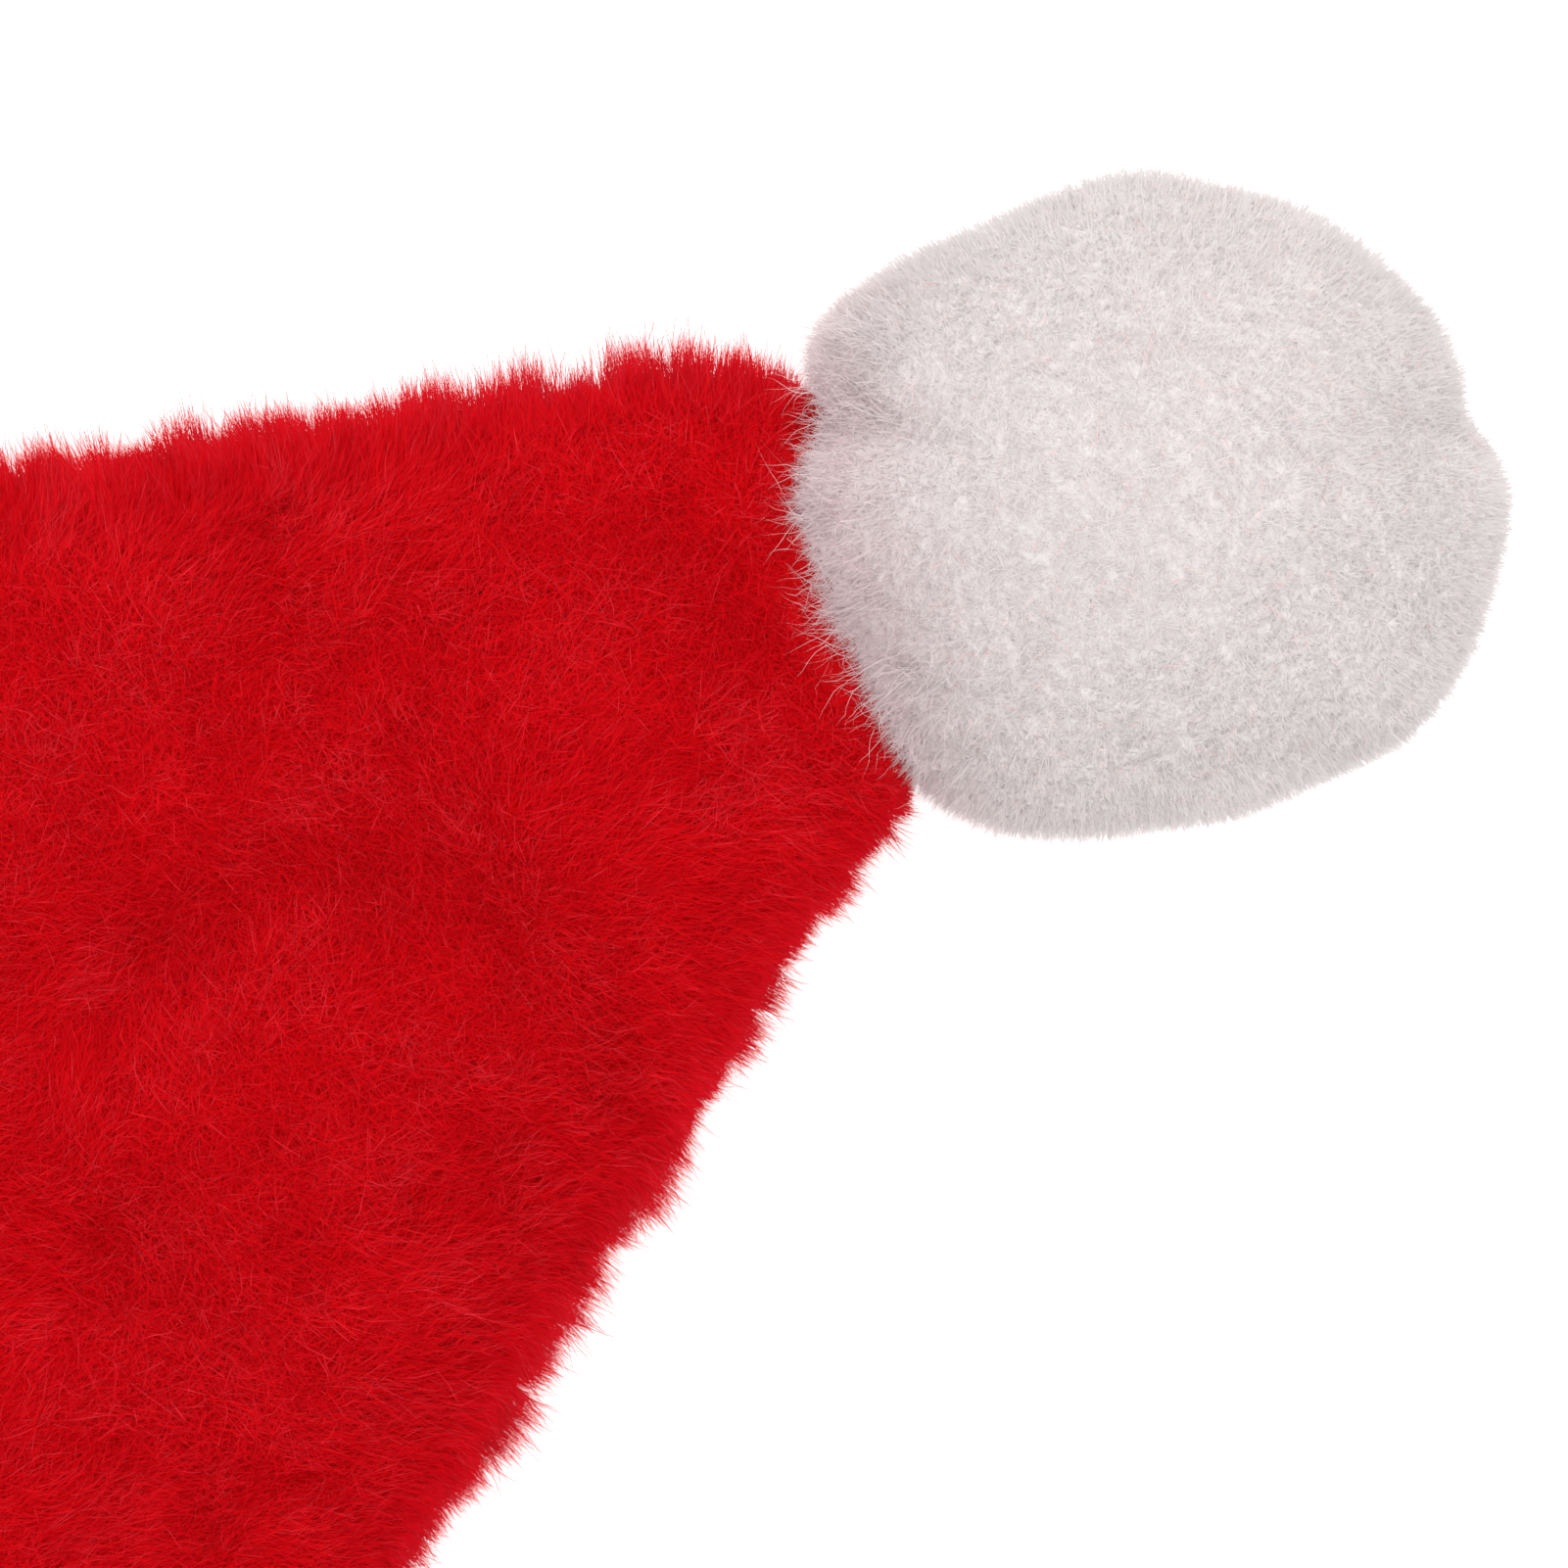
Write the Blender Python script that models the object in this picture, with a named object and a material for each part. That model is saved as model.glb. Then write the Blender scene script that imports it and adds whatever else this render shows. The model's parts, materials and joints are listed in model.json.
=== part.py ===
"""A plush santa hat lying on its side on a flat surface.

Three closed solids: a red crown, a white band round its mouth and a white pompom on its tip. The crown is a thin
hollow cone of cloth. Its pile, like the band's and the pompom's, stands in short leaning locks that are part of the
solid. The hat points along +Y, lies on the plane z = 0 and opens towards -Y.

Sizes are in millimetres. MM turns them into metres where a mesh is made.
"""

import math
from collections import namedtuple

import bmesh
import bpy
import numpy as np
from mathutils import Vector

MM = 0.001

# Where the straight sides of the cone would meet, measured along Y. Every from_tip counts back from there.
TIP_Y = 176.2

# The cloth: its wall, the height of its pile where it stands free and where the hat lies on it
WALL = 3.0
PILE = 7.0
PRESSED = 2.5

# A section's shape: how high its widest point is, how flat its underside, and from where on it is that flat.
# Folds fade out between these two rises, as a share of the way up from the widest point to the top.
WIDEST = 0.42
FLAT_BOTTOM = 0.55
FLAT_FROM = 120.0
FOLD_FADE = (0.15, 0.6)
SECTION_POINTS = 256

# The locks: their spacing, how far a full one leans, how unlike they are, and how much taller than wide one may be
LOCK_SPACING = 12.0
ROW_SPACING = LOCK_SPACING * math.sqrt(3.0) / 2.0
LOCK_LEAN = 3.0
LOCK_STRAY = 1.3
LOCK_UNEVEN = (0.72, 1.08)
LOCK_SLIM = 0.8
LEAST_LOCK = 0.3
LEAST_ROUND = 14
LOCK_SEED = 24

# The cone's closed end, which narrows like the nose of a paraboloid
NOSE_TIP = 30.0
NOSE_BACK = 60.0
NOSE_ROWS = (30.8, 33.0, 36.5, 41.0, 46.0)
LOCKS_FROM = 35.0
ROWS_FROM = 52.0

# The seam between the crown and the band: the crown's edge is tucked into the band from SEAM_LINE on
CROWN_LOCKS_END = 293.5
SEAM_LINE = 297.0
CROWN_EDGE = 313.0
SEAM_GAP = 0.4
SEAM_ROUND = 48

# The inside of the crown
INNER_ROUND = 36
INNER_TIP = 34.0
INNER_ROWS = (35.0, 38.0, 43.0, 50.0, 60.0, 72.0, 86.0, 102.0, 118.0, 134.0, 150.0, 168.0, 188.0, 210.0, 232.0,
              254.0, 276.0, 296.0)

# The band: how far it stands over the crown's cloth, and below which height its underside is pressed flat
MOUTH = 379.0
BAND_OVER = 6.0
BAND_PRESSED = 2.4
BAND_EDGE_LOCK = 3.5
BAND_ROUNDING = 6.0

# The pompom
POMPOM_FROM_TIP = 15.0
POMPOM_SIDE = 14.5
POMPOM_HEIGHT = 39.5
POMPOM_RADIUS = 42.9
POMPOM_UPRIGHT = 41.5
POMPOM_LUMPS = 0.7
POMPOM_LOCK = 5.0
POMPOM_SPOTS = 250
POMPOM_PRESSED = 1.2
SWIRL = 1.5
RIM_LOCK = 0.4

# How a crown's lock keeps clear of the pompom: the gap, and its height for each millimetre beyond that
CLEAR_OF_POMPOM = 1.0
CLOSE_LOCKS = 0.8

# The dimple that the crown's nose lies in. It is measured from a point of the pompom behind its middle, which sees
# all of it. Each ring lies at a share of the way from the dimple's bottom to its rim and has a count of points.
# The pompom's other points keep clear of the rim by an angle in radians.
DimpleRing = namedtuple("DimpleRing", "share count")
POMPOM_HEART = 12.0
DIMPLE_GAP = 0.75
DIMPLE_AIM = 48.0
DIMPLE_RIM = 26
DIMPLE_RINGS = (DimpleRing(0.2, 13), DimpleRing(0.4, 13), DimpleRing(0.6, 26), DimpleRing(0.8, 26))
CLEAR_OF_RIM = 0.13
HALVINGS = 30
CORRECTIONS = 40
DIMPLE_STEPS = 60

# The colours, as a linear share of red, green and blue
RED = (0.51, 0.004, 0.010)
WHITE = (0.80, 0.77, 0.76)
ROUGHNESS = 0.85

Section = namedtuple("Section", "from_tip left right bottom top")
Fold = namedtuple("Fold", "from_tip across length width turn depth")
Bulge = namedtuple("Bulge", "order amount turn")
BandRow = namedtuple("BandRow", "from_tip over_cloth lock")

# The outer face of the crown's cloth: how far it reaches to each side, and its lowest and highest point
SECTIONS = (
    Section(NOSE_BACK, 27.0, 26.5, 18.0, 54.0),
    Section(80.0, 35.5, 33.0, 12.0, 51.0),
    Section(100.0, 44.5, 43.5, 8.0, 51.0),
    Section(125.0, 55.5, 54.0, 5.0, 50.0),
    Section(150.0, 67.0, 67.0, PRESSED, 52.0),
    Section(200.0, 86.0, 87.0, PRESSED, 61.0),
    Section(250.0, 103.0, 103.0, PRESSED, 74.0),
    Section(290.0, 114.0, 114.0, 5.5, 86.0),
    Section(304.0, 117.0, 117.0, 7.0, 89.0),
    Section(MOUTH, 122.0, 122.0, 7.0, 93.0),
)

# Dents (depth above 0) and swells (below 0) of the upper side. Each spreads by length along a line that is turned
# from the hat's axis towards its right side, and by width across that line.
FOLDS = (
    Fold(66.0, 0.0, 8.0, 15.0, 10.0, 6.5),
    Fold(83.0, 13.0, 7.0, 7.0, 0.0, 1.5),
    Fold(101.0, 7.0, 7.0, 20.0, 0.0, -3.0),
    Fold(121.0, 10.0, 12.0, 6.5, -50.0, 3.5),
    Fold(125.0, -40.0, 18.0, 10.0, 0.0, -3.5),
    Fold(144.0, 14.0, 10.0, 8.0, 0.0, -2.5),
    Fold(151.0, -2.0, 22.0, 8.0, 0.0, 6.0),
    Fold(160.0, 25.0, 9.0, 9.0, 0.0, -3.0),
    Fold(176.0, 27.0, 8.0, 10.0, 0.0, 4.0),
    Fold(184.0, 60.0, 15.0, 11.0, 15.0, 4.5),
    Fold(190.0, -44.0, 26.0, 10.0, -12.0, 3.0),
    Fold(228.0, -10.0, 36.0, 22.0, 8.0, 10.0),
    Fold(270.0, 52.0, 26.0, 10.0, 20.0, 4.0),
    Fold(282.0, -62.0, 22.0, 9.0, -16.0, 4.0),
    Fold(330.0, -6.0, 52.0, 48.0, 0.0, 5.0),
)

# How the pompom's outline, seen from above, departs from a circle
BULGES = (
    Bulge(1, 1.0, -77.0),
    Bulge(2, 1.8, 62.0),
    Bulge(3, 0.5, 58.0),
    Bulge(4, 1.2, 28.0),
    Bulge(5, 0.4, 0.0),
)


def smooth_step(low, high, value):
    """0 below low, 1 above high, and a smooth rise between them."""
    share = np.clip((value - low) / (high - low), 0.0, 1.0)
    return share * share * (3.0 - 2.0 * share)


def section_at(from_tip):
    """The section at from_tip: a smooth curve through the table's rows, and the paraboloid nose before them."""
    rows = np.array(SECTIONS)
    places, sizes = rows[:, 0], rows[:, 1:]
    slopes = np.gradient(sizes, places, axis=0)
    here = max(from_tip, NOSE_BACK)
    row = min(int(np.searchsorted(places, here, side="right")) - 1, len(places) - 2)
    step = places[row + 1] - places[row]
    u = (here - places[row]) / step
    left, right, bottom, top = (
        (2.0 * u**3 - 3.0 * u**2 + 1.0) * sizes[row]
        + (u**3 - 2.0 * u**2 + u) * step * slopes[row]
        + (3.0 * u**2 - 2.0 * u**3) * sizes[row + 1]
        + (u**3 - u**2) * step * slopes[row + 1]
    )
    if from_tip < NOSE_BACK:
        shrink = math.sqrt(max(from_tip - NOSE_TIP, 0.0) / (NOSE_BACK - NOSE_TIP))
        middle = (top + bottom) / 2.0
        left, right = left * shrink, right * shrink
        bottom, top = middle + (bottom - middle) * shrink, middle + (top - middle) * shrink
    return Section(from_tip, left, right, bottom, top)


def fold_depth(from_tip, across):
    """How far the upper side is sunk at from_tip, for an array of distances across the hat."""
    depth = np.zeros_like(across)
    for fold in FOLDS:
        turn = math.radians(fold.turn)
        along = from_tip - fold.from_tip
        aside = across - fold.across
        u = (along * math.cos(turn) + aside * math.sin(turn)) / fold.length
        v = (aside * math.cos(turn) - along * math.sin(turn)) / fold.width
        depth += fold.depth * np.exp(-0.5 * (u * u + v * v))
    return depth


def cloth_ring(from_tip, count, offset=0.0, shift=0.0):
    """count points round the cloth at from_tip, moved out by offset and spaced evenly along the section.

    Returns each point's share of the way round, which starts at the bottom and runs by the right side, and the
    points. shift is where the first point lies, in steps.
    """
    size = section_at(from_tip)
    turn = np.linspace(0.0, 2.0 * math.pi, SECTION_POINTS, endpoint=False) - math.pi / 2.0
    side, rise = np.cos(turn), np.sin(turn)
    across = np.where(side < 0.0, size.left, size.right) * side
    settled = smooth_step(NOSE_BACK, FLAT_FROM, from_tip)
    middle = size.bottom + (0.5 + (WIDEST - 0.5) * settled) * (size.top - size.bottom)
    below = middle - (middle - size.bottom) * np.abs(rise) ** (1.0 + (FLAT_BOTTOM - 1.0) * settled)
    above = middle + (size.top - middle) * np.abs(rise)
    above -= fold_depth(from_tip, across) * smooth_step(*FOLD_FADE, rise)
    height = np.where(rise < 0.0, below, above)
    if offset:
        tangent_x = np.roll(across, -1) - np.roll(across, 1)
        tangent_z = np.roll(height, -1) - np.roll(height, 1)
        length = np.hypot(tangent_x, tangent_z)
        across = across + offset * tangent_z / length
        height = height - offset * tangent_x / length
    across, height = np.append(across, across[0]), np.append(height, height[0])
    travelled = np.concatenate(([0.0], np.cumsum(np.hypot(np.diff(across), np.diff(height)))))
    shares = (np.arange(count) + shift) / count
    around = shares * travelled[-1]
    points = np.column_stack((
        np.interp(around, travelled, across),
        np.full(count, TIP_Y - from_tip),
        np.interp(around, travelled, height),
    ))
    return shares, points


def locks_round(from_tip):
    """How many locks go round the cloth at from_tip."""
    points = cloth_ring(from_tip, SECTION_POINTS // 2)[1]
    length = float(np.linalg.norm(points - np.roll(points, 1, axis=0), axis=1).sum())
    return max(LEAST_ROUND, round(length / LOCK_SPACING))


def pompom_centre():
    """The middle of the pompom."""
    return np.array([POMPOM_SIDE, TIP_Y - POMPOM_FROM_TIP, POMPOM_HEIGHT])


def pompom_reach(directions):
    """The distance from the pompom's middle to the outside of its pile along each unit direction."""
    bearing = np.arctan2(directions[:, 1], directions[:, 0])
    level = np.full(len(directions), POMPOM_RADIUS)
    for bulge in BULGES:
        level += bulge.amount * np.cos(bulge.order * (bearing - math.radians(bulge.turn)))
    level += POMPOM_LUMPS * np.sin(3.0 * bearing + 4.0 * directions[:, 2])
    upright = directions[:, 2] ** 2
    return level * (1.0 - upright) + POMPOM_UPRIGHT * upright


class Shell:
    """A closed mesh that grows ring by ring, some of whose faces then rise into locks."""

    def __init__(self):
        self.bm = bmesh.new()
        self.locks = {}
        self.random = np.random.default_rng(LOCK_SEED)

    def ring(self, shares, points):
        """Adds a ring's vertices and returns them with their shares of the way round."""
        return [(float(share), self.bm.verts.new(point)) for share, point in zip(shares, points)]

    def stitch(self, first, second, height=0.0):
        """Joins two rings with triangles, taking whichever next vertex is less far round. Each rises by height."""
        i, j = 0, 0
        n, m = len(first), len(second)
        while i < n or j < m:
            next_first = first[(i + 1) % n][0] + (i + 1) // n
            next_second = second[(j + 1) % m][0] + (j + 1) // m
            a, b = first[i % n][1], second[j % m][1]
            if j >= m or (i < n and next_first <= next_second):
                face = self.bm.faces.new((a, first[(i + 1) % n][1], b))
                i += 1
            else:
                face = self.bm.faces.new((a, second[(j + 1) % m][1], b))
                j += 1
            if height:
                self.locks[face] = height

    def close(self, ring, point):
        """Closes a ring with a fan of triangles to one point."""
        middle = self.bm.verts.new(point)
        for k, (_, vert) in enumerate(ring):
            self.bm.faces.new((vert, ring[(k + 1) % len(ring)][1], middle))

    def raise_locks(self, lean, room=None, floor=0.0):
        """Turns every marked face into a leaning pyramid, no two quite alike.

        lean is a function of a point that gives the way the pile leans there, room one that gives the height that a
        lock may have there. No tip goes below floor, and a face that lies on it stays flat.
        """
        bmesh.ops.recalc_face_normals(self.bm, faces=self.bm.faces)
        raised = []
        for face, height in self.locks.items():
            if all(vert.co.z <= floor for vert in face.verts):
                continue
            centre = face.calc_center_median()
            height *= self.random.uniform(*LOCK_UNEVEN)
            height = min(height, LOCK_SLIM * math.sqrt(2.0 * face.calc_area()))
            stray = Vector(self.random.uniform(-LOCK_STRAY, LOCK_STRAY, 3))
            if room is not None:
                height = min(height, room(centre))
            if height <= LEAST_LOCK:
                continue
            tip = centre + face.normal * height + (lean(centre) + stray) * (height / PILE)
            tip.z = max(tip.z, floor)
            top = self.bm.verts.new(tip)
            for loop in face.loops:
                self.bm.faces.new((loop.vert, loop.link_loop_next.vert, top))
            raised.append(face)
        bmesh.ops.delete(self.bm, geom=raised, context="FACES_ONLY")

    def make_object(self, name, material):
        """Links the mesh to the scene as an object in metres."""
        bmesh.ops.recalc_face_normals(self.bm, faces=self.bm.faces)
        bmesh.ops.scale(self.bm, vec=(MM, MM, MM), verts=self.bm.verts)
        mesh = bpy.data.meshes.new(name)
        self.bm.to_mesh(mesh)
        self.bm.free()
        mesh.materials.append(material)
        made = bpy.data.objects.new(name, mesh)
        bpy.context.scene.collection.objects.link(made)
        return made


def plush(name, colour):
    """A plain plush material."""
    material = bpy.data.materials.new(name)
    material.use_nodes = True
    shader = material.node_tree.nodes["Principled BSDF"]
    shader.inputs["Base Color"].default_value = (*colour, 1.0)
    shader.inputs["Roughness"].default_value = ROUGHNESS
    shader.inputs["Metallic"].default_value = 0.0
    return material


def along_the_hat(_):
    """The crown's and the band's pile leans towards the hat's tip."""
    return Vector((0.0, LOCK_LEAN, 0.0))


def room_by_the_pompom(place):
    """A crown lock's greatest height, so that the ones beside the pompom stay clear of it."""
    away = np.array(place) - pompom_centre()
    distance = float(np.linalg.norm(away))
    clear = distance - float(pompom_reach((away / distance)[None, :])[0])
    return max(0.0, clear - CLEAR_OF_POMPOM) * CLOSE_LOCKS


def build_crown():
    """The cone of cloth: its outside from the nose to the edge in the band, round the edge, and back inside."""
    shell = Shell()
    nose_height = section_at(NOSE_TIP).top
    lock_rows = np.linspace(ROWS_FROM, CROWN_LOCKS_END, round((CROWN_LOCKS_END - ROWS_FROM) / ROW_SPACING) + 1)
    before = None
    for number, from_tip in enumerate([*NOSE_ROWS, *lock_rows]):
        shares, points = cloth_ring(from_tip, locks_round(from_tip), shift=0.5 * (number % 2))
        points[:, 2] = np.maximum(points[:, 2], PRESSED)
        ring = shell.ring(shares, points)
        if before is None:
            shell.close(ring, (0.0, TIP_Y - NOSE_TIP, nose_height))
        else:
            shell.stitch(before, ring, PILE if from_tip > LOCKS_FROM else 0.0)
        before = ring
    for from_tip in (SEAM_LINE, CROWN_EDGE):
        ring = shell.ring(*cloth_ring(from_tip, SEAM_ROUND))
        shell.stitch(before, ring)
        before = ring
    for from_tip in (CROWN_EDGE, *reversed(INNER_ROWS)):
        ring = shell.ring(*cloth_ring(from_tip, INNER_ROUND, offset=-WALL))
        shell.stitch(before, ring)
        before = ring
    shell.close(before, (0.0, TIP_Y - INNER_TIP, nose_height))
    shell.raise_locks(along_the_hat, room=room_by_the_pompom)
    return shell.make_object("crown", plush("red_plush", RED))


def band_rows():
    """The band's rings: from the crown's edge outwards, over the cuff, round to the mouth and back inside."""
    first, last = SEAM_LINE + BAND_ROUNDING, MOUTH - BAND_ROUNDING
    inside = -WALL
    cuff = np.linspace(first, last, round((last - first) / ROW_SPACING) + 1)
    return [
        BandRow(SEAM_LINE, SEAM_GAP, 0.0),
        BandRow(SEAM_LINE - 0.2 * BAND_ROUNDING, 0.35 * BAND_OVER, 0.0),
        BandRow(SEAM_LINE + 0.13 * BAND_ROUNDING, 0.83 * BAND_OVER, BAND_EDGE_LOCK),
        *(BandRow(from_tip, BAND_OVER, PILE) for from_tip in cuff),
        BandRow(MOUTH - 0.25 * BAND_ROUNDING, 0.67 * BAND_OVER, BAND_EDGE_LOCK),
        BandRow(MOUTH, 0.17 * BAND_OVER, 0.0),
        BandRow(MOUTH - 0.17 * BAND_ROUNDING, inside + 0.13 * BAND_OVER, 0.0),
        BandRow(last, inside, 0.0),
        BandRow((last + CROWN_EDGE) / 2.0, inside, 0.0),
        BandRow(CROWN_EDGE + SEAM_GAP, inside, 0.0),
        BandRow(CROWN_EDGE + SEAM_GAP, SEAM_GAP, 0.0),
        BandRow(CROWN_EDGE, SEAM_GAP, 0.0),
    ]


def build_band():
    """The cuff: a closed loop of rings, pressed flat where the hat lies on it."""
    shell = Shell()
    rings = []
    for number, row in enumerate(band_rows()):
        shift = 0.5 * (number % 2) if row.lock == PILE else 0.0
        shares, points = cloth_ring(row.from_tip, SEAM_ROUND, offset=row.over_cloth, shift=shift)
        if row.over_cloth > SEAM_GAP:
            points[:, 2] = np.where(points[:, 2] < BAND_PRESSED, 0.0, points[:, 2])
        ring = shell.ring(shares, points)
        if rings:
            shell.stitch(rings[-1], ring, row.lock)
        rings.append(ring)
    shell.stitch(rings[0], rings[-1])
    shell.raise_locks(along_the_hat)
    return shell.make_object("band", plush("white_plush", WHITE))


def reach_outside(start, directions, inset):
    """The distance from start to the pompom's outside less inset, along each direction, by repeated correction."""
    centre = pompom_centre()
    reach = np.full(len(directions), POMPOM_RADIUS)
    for _ in range(CORRECTIONS):
        away = start + directions * reach[:, None] - centre
        distance = np.linalg.norm(away, axis=1)
        reach += pompom_reach(away / distance[:, None]) - inset - distance
    return reach


def reach_to_the_nose(start, directions):
    """The distance from start to the dimple that the crown's nose lies in, along each direction.

    The nose is taken as a paraboloid with an oval section, out by the gap. Infinite where a direction misses it.
    """
    back = section_at(NOSE_BACK)
    length = NOSE_BACK - NOSE_TIP
    across = max(back.left, back.right)
    rise = (back.top - back.bottom) / 2.0
    widen = 1.0 + DIMPLE_GAP / rise
    px, py, pz = start - np.array([0.0, TIP_Y - NOSE_TIP + DIMPLE_GAP, (back.top + back.bottom) / 2.0])
    x, y, z = directions.T
    # The surface is (x / across)^2 + (z / rise)^2 = -widen^2 * y / length
    a = (x / across) ** 2 + (z / rise) ** 2
    b = 2.0 * (px * x / across**2 + pz * z / rise**2) + widen**2 * y / length
    c = (px / across) ** 2 + (pz / rise) ** 2 + widen**2 * py / length
    inside = b * b - 4.0 * a * c
    reach = (-b - np.sqrt(np.maximum(inside, 0.0))) / (2.0 * a)
    return np.where((inside > 0.0) & (reach > 0.0), reach, np.inf)


def spiral_directions(count):
    """count unit directions, evenly spread over the ball on a spiral."""
    number = np.arange(count) + 0.5
    rise = 1.0 - 2.0 * number / count
    turn = number * math.pi * (3.0 - math.sqrt(5.0))
    level = np.sqrt(1.0 - rise * rise)
    return np.column_stack((level * np.cos(turn), level * np.sin(turn), rise))


def pompom_directions():
    """Where the pompom's points lie, seen from its heart.

    Returns the heart, the directions, and how many of them, the first ones, belong to the dimple and its rim.
    """
    centre = pompom_centre()
    target = np.array([0.0, TIP_Y - DIMPLE_AIM, POMPOM_HEIGHT]) - centre
    axis = target / np.linalg.norm(target)
    heart = centre - POMPOM_HEART * axis
    side = np.cross(axis, [0.0, 0.0, 1.0])
    side /= np.linalg.norm(side)
    up = np.cross(side, axis)
    turns = 2.0 * math.pi * np.arange(DIMPLE_RIM) / DIMPLE_RIM
    outwards = np.cos(turns)[:, None] * side + np.sin(turns)[:, None] * up

    def tilted(angles):
        return np.cos(angles)[:, None] * axis + np.sin(angles)[:, None] * outwards

    # The rim is where the ball meets the dimple: found by halving, on each of the half planes through the axis
    low, high = np.zeros(DIMPLE_RIM), np.full(DIMPLE_RIM, math.pi / 2.0)
    for _ in range(HALVINGS):
        middle = (low + high) / 2.0
        inner = reach_to_the_nose(heart, tilted(middle)) < reach_outside(heart, tilted(middle), POMPOM_LOCK)
        low, high = np.where(inner, middle, low), np.where(inner, high, middle)
    points = [axis[None, :], tilted(high)]
    # The rings inside the rim lie at even steps along the dimple's surface
    steps = np.linspace(0.0, 1.0, DIMPLE_STEPS)
    hits = np.array([reach_to_the_nose(heart, tilted(s * low))[:, None] * tilted(s * low) for s in steps])
    gone = np.cumsum(np.linalg.norm(np.diff(hits, axis=0), axis=2), axis=0)
    gone = np.vstack((np.zeros((1, DIMPLE_RIM)), gone)) / gone[-1]
    for ring in DIMPLE_RINGS:
        angles = low * [np.interp(ring.share, gone[:, k], steps) for k in range(DIMPLE_RIM)]
        picked = np.round(np.arange(ring.count) * DIMPLE_RIM / ring.count).astype(int) % DIMPLE_RIM
        points.append(tilted(angles)[picked])
    in_dimple = sum(len(p) for p in points)
    spread = spiral_directions(POMPOM_SPOTS)
    bearing = np.arctan2(spread @ up, spread @ side) % (2.0 * math.pi)
    rim = np.interp(bearing, np.append(turns, 2.0 * math.pi), np.append(high, high[0]))
    beyond = np.arccos(np.clip(spread @ axis, -1.0, 1.0)) - rim
    points.append(spread[beyond > CLEAR_OF_RIM])
    return heart, np.vstack(points), in_dimple


def build_pompom():
    """The ball: evenly spread points, joined as a hull round its heart and then moved out to the surface."""
    shell = Shell()
    heart, directions, in_dimple = pompom_directions()
    reach = np.minimum(reach_outside(heart, directions, POMPOM_LOCK), reach_to_the_nose(heart, directions))
    verts = [shell.bm.verts.new(direction) for direction in directions]
    bmesh.ops.convex_hull(shell.bm, input=verts)
    places = heart + directions * reach[:, None]
    places[:, 2] = np.maximum(places[:, 2], POMPOM_PRESSED)
    for vert, place in zip(verts, places):
        vert.co = place
    dimple = set(verts[:in_dimple])
    for face in shell.bm.faces:
        corners = sum(vert in dimple for vert in face.verts)
        if corners < 3:
            shell.locks[face] = POMPOM_LOCK * (RIM_LOCK if corners else 1.0)
    middle = Vector(pompom_centre())

    def swirl(place):
        away = (place - middle).normalized()
        return Vector((-away.y, away.x, 0.0)) * SWIRL

    shell.raise_locks(swirl)
    return shell.make_object("pompom", plush("white_pompom", WHITE))


def main():
    """Clears the scene and builds the hat."""
    for old in list(bpy.data.objects):
        bpy.data.objects.remove(old, do_unlink=True)
    build_crown()
    build_band()
    build_pompom()


main()
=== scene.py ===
"""A plush santa hat that lies on its side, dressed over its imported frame.

The crown and the band are thin closed sheets of cloth, and the pompom is a stuffed ball. Each carries its pile as
real fibres: narrow ribbons that stand in tufts and lean with the nap. All shapes are worked out in millimetres, as
functions of two parameters on a grid, and turned into metres where a mesh is made. from_tip counts from the point
where the straight sides of the cone would meet, back along the hat's axis, which points along +Y.
"""

import itertools
import json
import logging
import math
from dataclasses import dataclass, field, fields
from enum import Enum
from pathlib import Path
from typing import Self

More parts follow.
